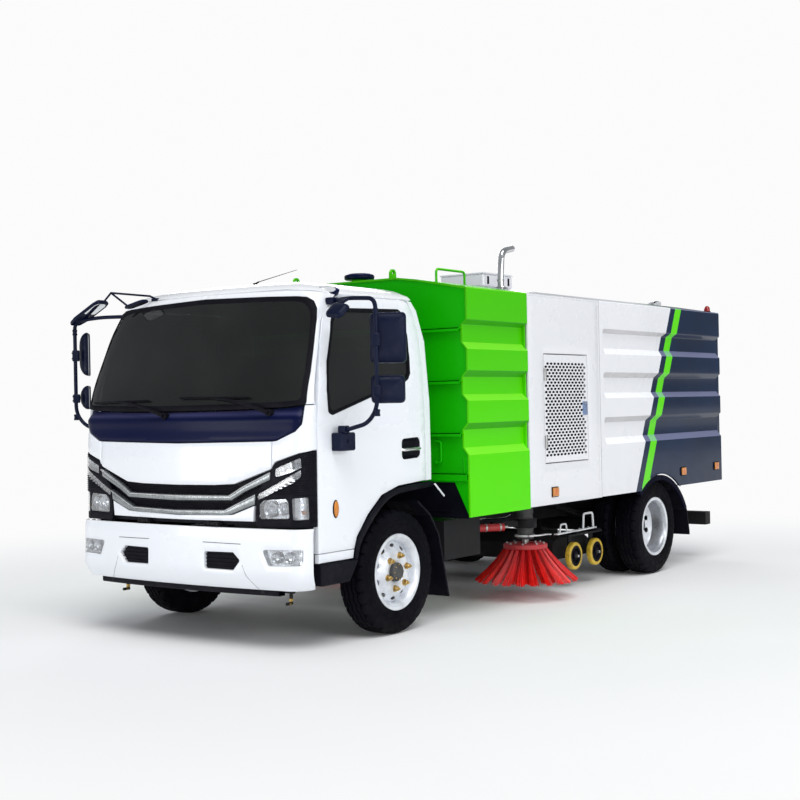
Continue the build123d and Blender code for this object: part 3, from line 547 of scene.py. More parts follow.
def rounded(pts, r, n=4):
    """Outline with its corners rounded to radius r (number or list)."""
    out = []
    k = len(pts)
    for i in range(k):
        rr = r[i] if isinstance(r, (list, tuple)) else r
        p0, p1, p2 = Vector(pts[i - 1]), Vector(pts[i]), Vector(pts[(i + 1) % k])
        a, b = p0 - p1, p2 - p1
        ang = a.angle(b)
        if rr <= 0 or ang > 3.05:
            out.append(tuple(p1))
            continue
        t = min(rr / math.tan(ang / 2), a.length * .48, b.length * .48)
        q0, q1 = p1 + a.normalized() * t, p1 + b.normalized() * t
        for j in range(n + 1):
            s = j / n
            out.append(tuple(q0 * (1 - s) ** 2 + p1 * 2 * s * (1 - s) + q1 * s * s))
    return out


def smooth_path(pts, per=6):
    """Catmull-Rom through points."""
    P = [Vector(p) for p in pts]
    out = []
    for i in range(len(P) - 1):
        a = P[i - 1] if i else P[0] * 2 - P[1]
        b, c = P[i], P[i + 1]
        d = P[i + 2] if i + 2 < len(P) else P[-1] * 2 - P[-2]
        for j in range(per):
            t = j / per
            out.append(tuple(.5 * ((2 * b) + (c - a) * t + (2 * a - 5 * b + 4 * c - d) * t * t + (3 * b - a - 3 * c + d) * t ** 3)))
    out.append(tuple(P[-1]))
    return out


def bent(pts, r, n=6):
    """3-D path with rounded corners."""
    P = [Vector(p) for p in pts]
    out = [tuple(P[0])]
    for i in range(1, len(P) - 1):
        a, b = P[i - 1] - P[i], P[i + 1] - P[i]
        t = min(r, a.length * .48, b.length * .48)
        q0, q1 = P[i] + a.normalized() * t, P[i] + b.normalized() * t
        for j in range(n + 1):
            s = j / n
            out.append(tuple(q0 * (1 - s) ** 2 + P[i] * 2 * s * (1 - s) + q1 * s * s))
    out.append(tuple(P[-1]))
    return out


def inside(p, poly):
    x, y = p
    c = False
    j = len(poly) - 1
    for i in range(len(poly)):
        xi, yi = poly[i]
        xj, yj = poly[j]
        if (yi > y) != (yj > y) and x < (xj - xi) * (y - yi) / (yj - yi) + xi:
            c = not c
        j = i
    return c


def near(p, poly, d):
    px, py = p
    for i in range(len(poly)):
        ax, ay = poly[i - 1]
        bx, by = poly[i]
        dx, dy = bx - ax, by - ay
        L = dx * dx + dy * dy
        t = max(0, min(1, ((px - ax) * dx + (py - ay) * dy) / L)) if L > 0 else 0
        if (ax + dx * t - px) ** 2 + (ay + dy * t - py) ** 2 < d * d:
            return True
    return False


def resample(pts, step):
    out = []
    for i in range(len(pts)):
        a, b = Vector(pts[i]), Vector(pts[(i + 1) % len(pts)])
        k = max(1, math.ceil((b - a).length / step))
        out += [tuple(a + (b - a) * (j / k)) for j in range(k)]
    return out


def ccw(pts):
    a = sum(pts[i - 1][0] * pts[i][1] - pts[i][0] * pts[i - 1][1] for i in range(len(pts)))
    return list(pts) if a > 0 else list(pts)[::-1]


def panel(b, outer, lift, holes=(), t=.03, step=.04, lip=.004, m=0, back=None, rim=None):
    """Sheet whose outline lies in a 2-D domain. lift(u, v, depth) gives the point at that depth below the outer surface."""
    outer = resample(ccw(outer), step)
    holes = [resample(ccw(h), step) for h in holes]
    out_in = inset(outer, lip)
    holes_in = [inset(h, -lip) for h in holes]
    us, vs = [p[0] for p in outer], [p[1] for p in outer]
    pts, edges = [], []
    for loop in [out_in] + holes_in:
        n0 = len(pts)
        pts += [Vector(p) for p in loop]
        edges += [(n0 + i, n0 + (i + 1) % len(loop)) for i in range(len(loop))]
    nb = len(pts)
    nu = int((max(us) - min(us)) / step) + 1
    nv = int((max(vs) - min(vs)) / step) + 1
    for i in range(nu + 1):
        for j in range(nv + 1):
            p = (min(us) + (i + .5 * (j % 2)) * step, min(vs) + j * step * .9)
            if inside(p, out_in) and not any(inside(p, h) for h in holes_in) and not near(p, out_in, step * .5) and not any(near(p, h, step * .5) for h in holes_in):
                pts.append(Vector(p))
    v2, _, f2, *_ = delaunay_2d_cdt(pts, edges, [], 1, 1e-7)
    faces = []
    for f in f2:
        c = (sum(v2[i][0] for i in f) / 3, sum(v2[i][1] for i in f) / 3)
        if inside(c, out_in) and not any(inside(c, h) for h in holes_in):
            faces.append(tuple(f))
    top = [lift(p[0], p[1], 0) for p in v2]
    base = [lift(p[0], p[1], t) for p in v2]
    n = len(v2)
    b.add(top, faces, m)
    b.add(base, [f[::-1] for f in faces], m if back is None else back)
    rim = m if rim is None else rim
    for loop_in, loop, sign in [(out_in, outer, 1)] + [(hi, h, -1) for hi, h in zip(holes_in, holes)]:
        r0 = [lift(p[0], p[1], 0) for p in loop_in]
        rings = [r0]
        if lip > 0:
            mid = [((p[0] * .3 + q[0] * .7), (p[1] * .3 + q[1] * .7)) for p, q in zip(loop_in, loop)]
            rings.append([lift(p[0], p[1], lip * .3) for p in mid])
            rings.append([lift(p[0], p[1], lip) for p in loop])
            rings.append([lift(p[0], p[1], t) for p in loop])
            rings.append([lift(p[0], p[1], t) for p in loop_in])
        else:
            rings.append([lift(p[0], p[1], t) for p in loop_in])
        if sign > 0:
            rings = [r[::-1] for r in rings]
        b.rings(rings, rim)


# ---------------------------------------------------------------- cab surface
# columns: z, half width, side station, corner x, corner station, centre station, rear station
CAB = ((.500, .930, -.735, .835, -.868, -.930, .400),
       (1.100, .934, -.725, .835, -.862, -.930, .400),
       (1.420, .930, -.700, .842, -.832, -.895, .400),
       (1.800, .900, -.600, .812, -.695, -.758, .398),
       (2.000, .845, -.530, .760, -.622, -.683, .392),
       (2.080, .800, -.495, .715, -.585, -.645, .380),
       (2.130, .700, -.430, .620, -.520, -.585, .345),
       (2.160, .560, -.330, .480, -.420, -.480, .270))


def pchip(xs, ys, x):
    n = len(xs)
    if x <= xs[0]:
        return ys[0]
    if x >= xs[-1]:
        return ys[-1]
    h = [xs[i + 1] - xs[i] for i in range(n - 1)]
    d = [(ys[i + 1] - ys[i]) / h[i] for i in range(n - 1)]
    s = [d[0]] + [0 if d[i - 1] * d[i] <= 0 else (3 * (h[i] + h[i - 1])) / ((2 * h[i] + h[i - 1]) / d[i - 1] + (h[i] + 2 * h[i - 1]) / d[i]) for i in range(1, n - 1)] + [d[-1]]
    i = max(k for k in range(n - 1) if xs[k] <= x)
    t = (x - xs[i]) / h[i]
    return (ys[i] * (1 + 2 * t) * (1 - t) ** 2 + s[i] * h[i] * t * (1 - t) ** 2
            + ys[i + 1] * t * t * (3 - 2 * t) + s[i + 1] * h[i] * t * t * (t - 1))


def arc3(p0, p1, p2, n):
    ax, ay, bx, by, cx, cy = *p0, *p1, *p2
    d = 2 * (ax * (by - cy) + bx * (cy - ay) + cx * (ay - by))
    if abs(d) < 1e-9:
        return [(ax + (cx - ax) * i / n, ay + (cy - ay) * i / n) for i in range(n + 1)]
    ux = ((ax * ax + ay * ay) * (by - cy) + (bx * bx + by * by) * (cy - ay) + (cx * cx + cy * cy) * (ay - by)) / d
    uy = ((ax * ax + ay * ay) * (cx - bx) + (bx * bx + by * by) * (ax - cx) + (cx * cx + cy * cy) * (bx - ax)) / d
    r = math.hypot(ax - ux, ay - uy)
    a0, a2 = math.atan2(ay - uy, ax - ux), math.atan2(cy - uy, cx - ux)
    while a2 - a0 > math.pi:
        a2 -= 2 * math.pi
    while a2 - a0 < -math.pi:
        a2 += 2 * math.pi
    return [(ux + r * math.cos(a0 + (a2 - a0) * i / n), uy + r * math.sin(a0 + (a2 - a0) * i / n)) for i in range(n + 1)]


_plan = {}


def plan(z):
    """Half outline of the cab at a height, as points 5 mm apart from the centre of the front to the rear."""
    key = round(z, 4)
    if key in _plan:
        return _plan[key]
    zs = [r[0] for r in CAB]
    hw, ss, cx, cs, yc, yr = [pchip(zs, [r[k] for r in CAB], z) for k in range(1, 7)]
    front = arc3((-cx, cs), (0, yc), (cx, cs), 80)[40:]
    corner = arc3((cx, cs), (cx + (hw - cx) * .72, cs + (ss - cs) * .30), (hw, ss), 24)
    line = front + corner[1:] + [(hw, ss + (yr - ss) * i / 60) for i in range(1, 61)]
    # even spacing
    out, acc = [line[0]], 0.0
    step = .005
    need = step
    for i in range(1, len(line)):
        a, b = line[i - 1], line[i]
        L = math.hypot(b[0] - a[0], b[1] - a[1])
        while acc + L >= need - 1e-12 and L > 0:
            t = (need - acc) / L
            out.append((a[0] + (b[0] - a[0]) * t, a[1] + (b[1] - a[1]) * t))
            need += step
        acc += L
    out.append(line[-1])
    # soften the joins
    for _ in range(10):
        q = list(out)
        for i in range(1, len(out) - 1):
            q[i] = ((out[i - 1][0] + 2 * out[i][0] + out[i + 1][0]) / 4, (out[i - 1][1] + 2 * out[i][1] + out[i + 1][1]) / 4)
        q[0] = (0, out[0][1])
        out = q
    _plan[key] = out
    return out


def surf(s, z):
    """Cab surface point: s is the distance along the outline from the front centre (negative on the right side)."""
    k0 = math.floor(z / .01)
    fz = z / .01 - k0
    res = []
    a = abs(s)
    for k in (k0, k0 + 1):
        line = plan(k * .01)
        i = a / .005
        j = min(int(i), len(line) - 2)
        t = i - j
        res.append((line[j][0] + (line[j + 1][0] - line[j][0]) * t, line[j][1] + (line[j + 1][1] - line[j][1]) * t))
    x = res[0][0] * (1 - fz) + res[1][0] * fz
    y = res[0][1] * (1 - fz) + res[1][1] * fz
    return Vector((x if s >= 0 else -x, y, z))


def surf_normal(s, z):
    e = .012
    du = surf(s + e, z) - surf(s - e, z)
    dv = surf(s, z + e) - surf(s, z - e)
    return du.cross(dv).normalized()


def on_cab(s, z, depth=0.0):
    p = surf(s, z)
    if depth:
        p = p - surf_normal(s, z) * depth
    return (p.x, FA + p.y, p.z)


def s_at_x(x, z):
    """Distance along the front at which the outline reaches x."""
    line = plan(round(z, 2))
    for i in range(1, len(line)):
        if line[i][0] >= abs(x):
            t = (abs(x) - line[i - 1][0]) / max(1e-9, line[i][0] - line[i - 1][0])
            return math.copysign((i - 1 + t) * .005, x if x else 1)
    return math.copysign(len(line) * .005, x)


def s_at_y(y, z):
    """Distance along the side at which the outline reaches station y."""
    line = plan(round(z, 2))
    for i in range(1, len(line)):
        if line[i][1] >= y:
            t = (y - line[i - 1][1]) / max(1e-9, line[i][1] - line[i - 1][1])
            return (i - 1 + t) * .005
    return (len(line) - 1) * .005 + (y - line[-1][1])
#---SPLIT---

# ---------------------------------------------------------------- cab panels
def both(half):
    """Outline symmetric in s from its left half, which starts and ends on the centre line."""
    return half + [(-s, z) for s, z in reversed(half) if abs(s) > 1e-6]


def side_lift(side):
    def lift(y, z, d=0.0):
        s = s_at_y(y, z)
        p = on_cab(s, z, d)
        return (p[0] * side, p[1], p[2])
    return lift


def front_lift(side=1, dd=0.0):
    def lift(s, z, d=0.0):
        p = on_cab(s, z, d + dd)
        return (p[0] * side, p[1], p[2])
    return lift


# white front skin
hood = both([(0, 1.197), (.714, 1.207), (.714, 1.054), (.700, 1.046), (.447, .961), (.30, .953), (0, .950)])
b = B()
panel(b, hood, front_lift(), t=.03, lip=.005, step=.035)
pent = both([(0, .771), (.437, .783), (.592, .838), (.582, .747), (0, .744)])
panel(b, pent, front_lift(dd=-.002), t=.03, lip=.005, step=.035)
b.done("front_skin_center", WHITE, "cab", rep=("cab_front_panel",))
fender = [(.719, 1.207), (.748, 1.210), (.869, 1.262), (.906, 1.302), (.918, 1.411), (.990, 1.411), (1.004, 1.30), (1.014, 1.158), (.893, 1.139), (.738, 1.090), (.719, 1.062)]
for side, word in ((1, "left"), (-1, "right")):
    b = B()
    panel(b, fender, front_lift(side), t=.03, lip=.004, step=.03)
    b.done("front_skin_" + word, WHITE, "cab")

# windscreen, its black border and the dark cowl below it
def mirror_half(half, radii, n=4):
    """Round the corners of an open half outline, keeping its ends, then mirror it."""
    out = [half[0]]
    for i in range(1, len(half) - 1):
        if radii[i] <= 0:
            out.append(half[i])
            continue
        p0, p1, p2 = Vector(half[i - 1]), Vector(half[i]), Vector(half[i + 1])
        a, c = p0 - p1, p2 - p1
        ang = a.angle(c)
        t = min(radii[i] / math.tan(ang / 2), a.length * .48, c.length * .48)
        q0, q1 = p1 + a.normalized() * t, p1 + c.normalized() * t
        for j in range(n + 1):
            s = j / n
            out.append(tuple(q0 * (1 - s) ** 2 + p1 * 2 * s * (1 - s) + q1 * s * s))
    out.append(half[-1])
    return both(out)


glass = mirror_half([(0, 1.412), (.45, 1.415), (.80, 1.424), (.903, 1.432), (.896, 1.60), (.868, 1.80), (.850, 1.905), (.834, 1.958), (.804, 2.000), (.758, 2.024), (.70, 2.033), (.5, 2.040), (0, 2.052)], [0, 0, 0, .03, 0, 0, .02, .02, .03, .02, .02, 0, 0])
border = mirror_half([(0, 1.389), (.45, 1.392), (.80, 1.402), (.922, 1.414), (.914, 1.60), (.884, 1.80), (.869, 1.912), (.853, 1.974), (.820, 2.020), (.770, 2.044), (.70, 2.052), (.5, 2.060), (0, 2.073)], [0, 0, 0, .02, 0, 0, .02, .02, .03, .02, .02, 0, 0])
b = B()
panel(b, glass, front_lift(), t=.006, lip=.0, step=.06)
b.done("windscreen", GLASS, "cab", rep=("cab_glass",))
b = B()
panel(b, border, front_lift(dd=-.003), holes=[[(s * .985, 1.73 + (z - 1.73) * .968) for s, z in glass]], t=.016, lip=.003, step=.03)
b.done("windscreen_seal", RUBBER_SEAL, "cab")
b = B()
cowl = both([(0, 1.202), (.745, 1.213), (.865, 1.266), (.899, 1.304), (.914, 1.410), (.80, 1.398), (.45, 1.388), (0, 1.385)])


def cowl_lift(s, z, d=0.0):
    rise = .010 * max(0.0, 1 - abs(z - 1.335) / .055) if z > 1.28 else 0.0
    rec = .016 * max(0.0, min(1.0, (z - 1.345) / .04))
    return on_cab(s, z, d - rise + rec)


panel(b, cowl, cowl_lift, t=.03, lip=.004, step=.02)
b.done("windscreen_cowl", NAVY, "cab")

# pillars and the header over the windscreen
outer = both([(0, 2.100), (.60, 2.092), (.80, 2.076), (.92, 2.064), (.955, 2.030), (.920, 1.985), (.900, 1.90), (.922, 1.72), (.948, 1.58), (.976, 1.44), (.985, 1.416), (.924, 1.416)])
outer = [(0, 2.100), (.60, 2.094), (.80, 2.080), (.98, 2.068), (.953, 2.030), (.915, 1.985), (.897, 1.90), (.912, 1.80), (.930, 1.70), (.950, 1.58), (.974, 1.44), (.980, 1.417), (.926, 1.417)]
frame_out = outer + [(0, 1.417)] + [(-s, z) for s, z in reversed(outer[1:])]
hole = [(s * 1.004, 1.73 + (z - 1.73) * 1.004) for s, z in border]
b = B()
ring_out = [(s, z) for s, z in outer]
# the frame is one sheet round the border: left half and right half join over the top
bord = ccw(border)
top_left = [p for p in bord if p[0] >= 0]
top_left.sort(key=lambda p: math.atan2(p[1] - 1.73, p[0]))
half = [p for p in top_left]
left_sheet = outer + [(s * 1.003, z if z > 1.45 else z) for s, z in half if z > 1.415]
panel(b, left_sheet, front_lift(), t=.035, lip=.003, step=.03)
panel(b, left_sheet, front_lift(-1), t=.035, lip=.003, step=.03)
b.done("windscreen_pillars", WHITE, "cab", rep=("windscreen_frame",))

# roof: rings rising to the crown
NR = 150


def outline_len(z):
    return (len(plan(round(z, 2))) - 1) * .005


rings = []
levels = [0, .12, .26, .42, .58, .72, .84, .93, 1.0]
for t in levels:
    ring = []
    for i in range(NR + 1):
        u = i / NR
        s0 = u * outline_len(2.07)
        z0 = 2.102 if s0 < .62 else (2.102 - .030 * min(1.0, (s0 - .62) / .3))
        z = z0 + (2.158 - z0) * t
        L = outline_len(z)
        p = on_cab(u * L, z)
        ring.append(p)
    full = ring + [(-p[0], p[1], p[2]) for p in reversed(ring)]
    rings.append(full)
top = rings[-1]
cy = FA - .06
for k, (sc, dz) in enumerate(((.93, .0045), (.82, .008), (.66, .010), (.45, .0115), (.2, .0122), (.02, .0124))):
    rings.append([(p[0] * sc, cy + (p[1] - cy) * sc, min(2.172, 2.158 + dz)) for p in top])
b = B()
b.rings(rings, 0, True, False, True)
b.rings([[(p[0] * .97, cy + (p[1] - cy) * .97, p[2] - .02) for p in r] for r in rings], 0, True, False, True)
b.rings([rings[0], [(p[0] * .97, cy + (p[1] - cy) * .97, p[2] - .02) for p in rings[0]]], 0)
b.done("roof_skin", WHITE, "cab", rep=("cab_roof",), sharp=45)

# doors
DOOR = [(-.735, .560), (-.735, 1.10), (-.728, 1.30), (-.716, 1.42), (-.690, 1.60), (-.648, 1.78), (-.600, 1.90), (-.556, 1.968), (-.490, 2.022), (-.400, 2.050),
        (.0, 2.064), (.285, 2.066), (.330, 2.048), (.340, 1.99), (.341, 1.50), (.341, .922), (.046, .904), (-.130, .857), (-.268, .752), (-.378, .628), (-.404, .560)]
WIN = rounded([(-.622, 1.368), (-.628, 1.50), (-.612, 1.66), (-.520, 1.900), (-.470, 1.962), (-.32, 1.984), (.196, 2.000), (.222, 1.970), (.206, 1.60), (.176, 1.560), (.110, 1.526), (-.222, 1.449), (-.585, 1.352)],
              [.02, 0, 0, .03, .03, 0, .03, .02, .02, .03, .03, 0, .03], 4)
HANDLE = rounded([(.088, 1.062), (.088, 1.190), (.282, 1.196), (.282, 1.068)], .03, 4)
for side, word in ((1, "left"), (-1, "right")):
    b = B()
    lf = side_lift(side)
    panel(b, DOOR, lf, holes=[WIN, HANDLE], t=.036, lip=.004, step=.045, m=0, back=1)
    panel(b, [(-.735, .505), (-.735, .5555), (-.406, .5555), (-.417, .505)], lf, t=.03, lip=.003, step=.05, m=0, back=1)
    b.done("door_skin_" + word, [WHITE, GREY], "door_" + word, rep=("door_" + word,))
    b = B()
    small = [(y * 1.0, z) for y, z in WIN]
    c = (-.2, 1.68)
    hole = [(c[0] + (y - c[0]) * .955, c[1] + (z - c[1]) * .94) for y, z in WIN]

    def seal_lift(y, z, d=0.0, lf=lf):
        return lf(y, z, d - .002)
    panel(b, [(c[0] + (y - c[0]) * 1.008, c[1] + (z - c[1]) * 1.01) for y, z in WIN], seal_lift, holes=[hole], t=.02, lip=.003, step=.035)
    b.done("door_window_seal_" + word, RUBBER_SEAL, "door_" + word)
    b = B()

    def pane_lift(y, z, d=0.0, lf=lf):
        return lf(y, z, d + .008)
    panel(b, [(c[0] + (y - c[0]) * .985, c[1] + (z - c[1]) * .98) for y, z in WIN], pane_lift, t=.005, lip=0, step=.08)
    b.done("door_pane_" + word, GLASS, "door_" + word, rep=("door_glass_" + word,))
    # handle recess with its pull bar
    b = B()

    def cup_lift(y, z, d=0.0, lf=lf):
        u = max(0.0, 1 - max(abs(y - .185) / .100, abs(z - 1.129) / .066))
        return lf(y, z, d + .001 + .024 * min(1.0, u * 3.2))
    panel(b, [(.185 + (y - .185) * 1.01, 1.129 + (z - 1.129) * 1.015) for y, z in HANDLE], cup_lift, t=.004, lip=0, step=.008)
    xh = .934
    b.tube([(side * (xh - .012), .092, 1.122), (side * (xh + .004), .105, 1.122), (side * (xh + .010), .15, 1.123), (side * (xh + .010), .225, 1.124), (side * (xh + .004), .268, 1.125), (side * (xh - .012), .280, 1.125)], .011, 1, 12, flat=1.0)
    b.done("door_handle_" + word, [BLACK, CHROME], "door_" + word)
    # round side repeater
    b = B()
    lf2 = lf
    oval = [(-.575 + .022 * math.cos(t * math.pi / 12), .806 + .048 * math.sin(t * math.pi / 12)) for t in range(24)]
    big = [(-.577 + .027 * math.cos(t * math.pi / 12), .806 + .053 * math.sin(t * math.pi / 12)) for t in range(24)]

    def amber_lift(y, z, d=0.0, lf=lf):
        q = ((y + .575) / .022) ** 2 + ((z - .806) / .048) ** 2
        return lf(y, z, d - .004 - .010 * max(0.0, 1 - q) ** .5)
    panel(b, big, lambda y, z, d=0.0: lf(y, z, d - .004), t=.006, lip=.002, step=.012, m=1)
    panel(b, oval, amber_lift, t=.004, lip=.001, step=.005, m=0)
    b.done("side_repeater_" + word, [AMBER, BLACK], "door_" + word)

# lamps and grille ------------------------------------------------------------
b = B()
back = both([(0, .722), (.600, .722), (.604, .90), (.70, 1.035), (.70, 1.05), (.45, .975), (0, .965)])
panel(b, back, front_lift(dd=.030), t=.012, lip=0, step=.06)
# slats of the intake slots
for z in (.815, .828, .841, .905, .918, .931, .944):
    w = .40 if z < .85 else .455
    pts = []
    for i in range(21):
        s = -w + 2 * w * i / 20
        p = surf(s, z)
        pts.append((p.x, p.y + .016, z))
    b.tube(pts, .0032, 0, 6)
b.done("grille_back", BLACK, "cab")
bars = [([(0, .893), (.415, .897), (.520, .953), (.712, 1.036), (.706, .988), (.524, .915), (.432, .866), (0, .857)], "upper"),
        ([(0, .803), (.383, .812), (.606, .908), (.598, .846), (.435, .789), (.36, .776), (0, .774)], "lower")]
for half_pts, word in bars:
    b = B()
    panel(b, both(half_pts), front_lift(dd=-.004), t=.03, lip=.006, step=.03)
    # bright rib along the top edge
    k = 4 if word == "upper" else 3
    top_edge = half_pts[:k]
    edge = [(-s, z) for s, z in reversed(top_edge) if s > 0] + top_edge
    dense = []
    for i in range(len(edge) - 1):
        for j in range(8):
            t = j / 8
            dense.append((edge[i][0] * (1 - t) + edge[i + 1][0] * t, edge[i][1] * (1 - t) + edge[i + 1][1] * t))
    dense.append(edge[-1])
    pts = []
    for s, z in dense:
        p = surf(s, z - .006) - surf_normal(s, z) * -.006
        pts.append((p.x, p.y, z - .006))
    b.tube(pts, .0052, 1, 8)
    b.done("grille_bar_" + word, [GRILLE, CHROME], "cab")

BEZEL = [(.611, .716), (.600, .76), (.609, .913), (.712, 1.042), (.738, 1.084), (.895, 1.132), (1.010, 1.151), (1.012, .716)]
UPPER = rounded([(.742, 1.003), (.746, 1.052), (.903, 1.113), (.908, 1.056), (.835, 1.028)], .008, 2)
DRL = rounded([(.620, .870), (.622, .903), (.826, 1.003), (.906, 1.046), (.904, 1.008), (.866, .975)], .008, 2)
MAIN = rounded([(.634, .764), (.632, .846), (.664, .872), (.812, .880), (.828, .856), (.832, .768)], .014, 3)
TURN = rounded([(.856, .760), (.852, .884), (.944, .888), (.950, .762)], .012, 3)
for side, word in ((1, "left"), (-1, "right")):
    b = B()
    fl = front_lift(side)
    panel(b, BEZEL, front_lift(side, -.001), holes=[UPPER, DRL, MAIN, TURN], t=.03, lip=.004, step=.02)
    # fins on the outer part
    for i in range(19):
        z = .895 + i * .0132
        s0 = .925 if z > 1.05 else (.925 if z > 1.0 else .66 + max(0.0, (z - .885)) * 2.05)
        if z < .90:
            s0 = .87
        s1 = 1.004
        if z > 1.125:
            s0 = max(s0, .94)
        if s1 - s0 < .03:
            continue
        pts = []
        for j in range(13):
            s = s0 + (s1 - s0) * j / 12
            p = surf(s, z) + surf_normal(s, z) * .003
            pts.append((side * p.x, p.y, z))
        b.tube(pts, .0036, 0, 6)
    for i in range(9):
        z = .745 + i * .0155
        pts = []
        for j in range(5):
            s = .962 + .042 * j / 4
            p = surf(s, z) + surf_normal(s, z) * .003
            pts.append((side * p.x, p.y, z))
        b.tube(pts, .0036, 0, 6)
    b.done("headlamp_bezel_" + word, BLACK, "cab", rep=("headlamps",))
    b = B()
    for shape in (UPPER, DRL, MAIN, TURN):
        panel(b, shape, front_lift(side, .028), t=.006, lip=0, step=.03, m=0)
    # faceted bowl of the main lamp with its projector
    for (s0, z0, r, n) in ((.700, .820, .044, 14), (.785, .824, .034, 12), (.780, 1.050, .020, 10), (.835, 1.068, .021, 10), (.882, 1.086, .018, 10)):
        c = Vector(on_cab(s0, z0, .020))
        nrm = surf_normal(s0, z0)
        q = nrm.to_track_quat("Z", "Y").to_matrix()
        prof = [(.0, r * .25), (-.004, r * .55), (.0, r * .8), (.008, r), (.010, r * 1.08), (.006, r * 1.12)]
        rings = []
        for a, rr in prof:
            rings.append([tuple(Vector((side * (c + q @ Vector((rr * math.cos(t * 2 * math.pi / n), rr * math.sin(t * 2 * math.pi / n), a))).x, (c + q @ Vector((rr * math.cos(t * 2 * math.pi / n), rr * math.sin(t * 2 * math.pi / n), a))).y, (c + q @ Vector((rr * math.cos(t * 2 * math.pi / n), rr * math.sin(t * 2 * math.pi / n), a))).z))) for t in range(n)])
        b.rings(rings, 0, True, True, False)
    b.done("headlamp_reflector_" + word, REFLECTOR, "cab", sharp=12)
    # row of small lamps in the running light, amber bulb
    b = B()
    for i in range(9):
        t = i / 8
        s0, z0 = .640 + .245 * t, .893 + .112 * t + (.0 if t < .8 else .01)
        c = on_cab(s0, z0, .016)
        b.lathe([(-.006, .004), (-.003, .0085), (.004, .0095), (.008, .006)], (side * c[0], c[1] - FA, c[2]), "Y", 1, 10, True, True)
    c = on_cab(.925, .800, .018)
    b.lathe([(-.016, .004), (-.012, .011), (.0, .014), (.010, .010)], (side * c[0], c[1] - FA, c[2]), "Y", 0, 16, True, True)
    b.done("headlamp_bulbs_" + word, [AMBER, WHITELENS], "cab")
    b = B()
    for shape in (UPPER, DRL, MAIN, TURN):
        panel(b, shape, front_lift(side, -.001), t=.003, lip=.0, step=.03, m=0)
    b.done("headlamp_lens_" + word, CLEARLENS, "cab")

# bumper ----------------------------------------------------------------------
# columns: z, half width, side station, corner x, corner station, centre station
BUMP = ((.352, .900, -.742, .768, -.866, -.915), (.372, .915, -.742, .780, -.876, -.929), (.440, .943, -.742, .798, -.899, -.955),
        (.455, .945, -.742, .800, -.900, -.957), (.600, .944, -.742, .800, -.896, -.953), (.690, .942, -.742, .800, -.892, -.949), (.706, .938, -.742, .797, -.888, -.945), (.712, .930, -.742, .791, -.880, -.937))


def bump_plan(z):
    zs = [r[0] for r in BUMP]
    hw, ss, cx, cs, yc = [pchip(zs, [r[k] for r in BUMP], z) for k in range(1, 6)]
    front = arc3((-cx, cs), (0, yc), (cx, cs), 60)[30:]
    corner = arc3((cx, cs), (cx + (hw - cx) * .74, cs + (ss - cs) * .24), (hw, ss), 20)
    return front + corner[1:]


_bump = {}


def bump_at(x, z, d=0.0):
    """Bumper skin point whose distance along the outline equals that of x on a fixed outline."""
    k0 = math.floor(z / .004)
    out = []
    for k in (k0, k0 + 1):
        if k not in _bump:
            line = bump_plan(min(.712, max(.352, k * .004)))
            acc, tab = 0.0, [(0.0, line[0])]
            for i in range(1, len(line)):
                acc += math.hypot(line[i][0] - line[i - 1][0], line[i][1] - line[i - 1][1])
                tab.append((acc, line[i]))
            _bump[k] = tab
        tab = _bump[k]
        a = min(abs(x), tab[-1][0])
        lo = 0
        while lo < len(tab) - 2 and tab[lo + 1][0] < a:
            lo += 1
        t = (a - tab[lo][0]) / (tab[lo + 1][0] - tab[lo][0])
        p0, p1 = tab[lo][1], tab[lo + 1][1]
        out.append((p0[0] + (p1[0] - p0[0]) * t, p0[1] + (p1[1] - p0[1]) * t))
    f = z / .004 - k0
    px = out[0][0] * (1 - f) + out[1][0] * f
    py = out[0][1] * (1 - f) + out[1][1] * f
    return Vector((math.copysign(px, x) if x else 0.0, py, z))


def bump_lift(x, z, d=0.0):
    p = bump_at(x, z)
    if d:
        e = .01
        zz = min(.70, max(.362, z))
        n = (bump_at(x + e, zz) - bump_at(x - e, zz)).cross(bump_at(x, zz + e) - bump_at(x, zz - e)).normalized()
        p = p - n * d
    return (p.x, FA + p.y, p.z)


S_END = .9965
PENTA = rounded([(.235, .466), (.235, .565), (.452, .567), (.502, .522), (.452, .464)], .012, 3)
FOG = rounded([(.662, .588), (.930, .592), (.928, .525), (.915, .506), (.705, .500)], .014, 3)
b = B()
outline = [(-S_END, .353), (-S_END, .711), (S_END, .711), (S_END, .353)]
holes = [PENTA, [(-x, z) for x, z in PENTA], FOG, [(-x, z) for x, z in FOG]]
panel(b, outline, bump_lift, holes=holes, t=.028, lip=.006, step=.03)
b.done("bumper_skin", WHITE, "chassis", rep=("front_bumper",))
b = B()
# black pockets and the strip under the bumper
for side in (1, -1):
    panel(b, [(side * x, z) for x, z in PENTA], lambda x, z, d=0.0: bump_lift(x, z, d + .026), t=.004, lip=0, step=.04)
    for k in range(4):
        pts = []
        for i in range(9):
            x = side * (.238 + .25 * i / 8)
            q = bump_lift(x, .482 + k * .022, .016)
            pts.append((q[0], q[1] - FA, q[2]))
        b.tube(pts, .003, 0, 6)
b.done("bumper_pockets", BLACK, "chassis")
b = B()
rows = []
for z, d in ((.352, .0), (.352, .06)):
    pass
for x0, x1 in ((-.74, .74),):
    top_pts = []
    for i in range(41):
        x = x0 + (x1 - x0) * i / 40
        q = bump_at(x, .356)
        top_pts.append((q.x, q.y))
    rings = []
    for dy, z in ((.006, .362), (.006, .330), (.012, .322), (.060, .322), (.060, .362)):
        rings.append([(x, FA + y + dy, z) for x, y in top_pts])
    b.rings(rings + [rings[0]], 0, False)
b.done("bumper_lower_strip", BLACK, "chassis")
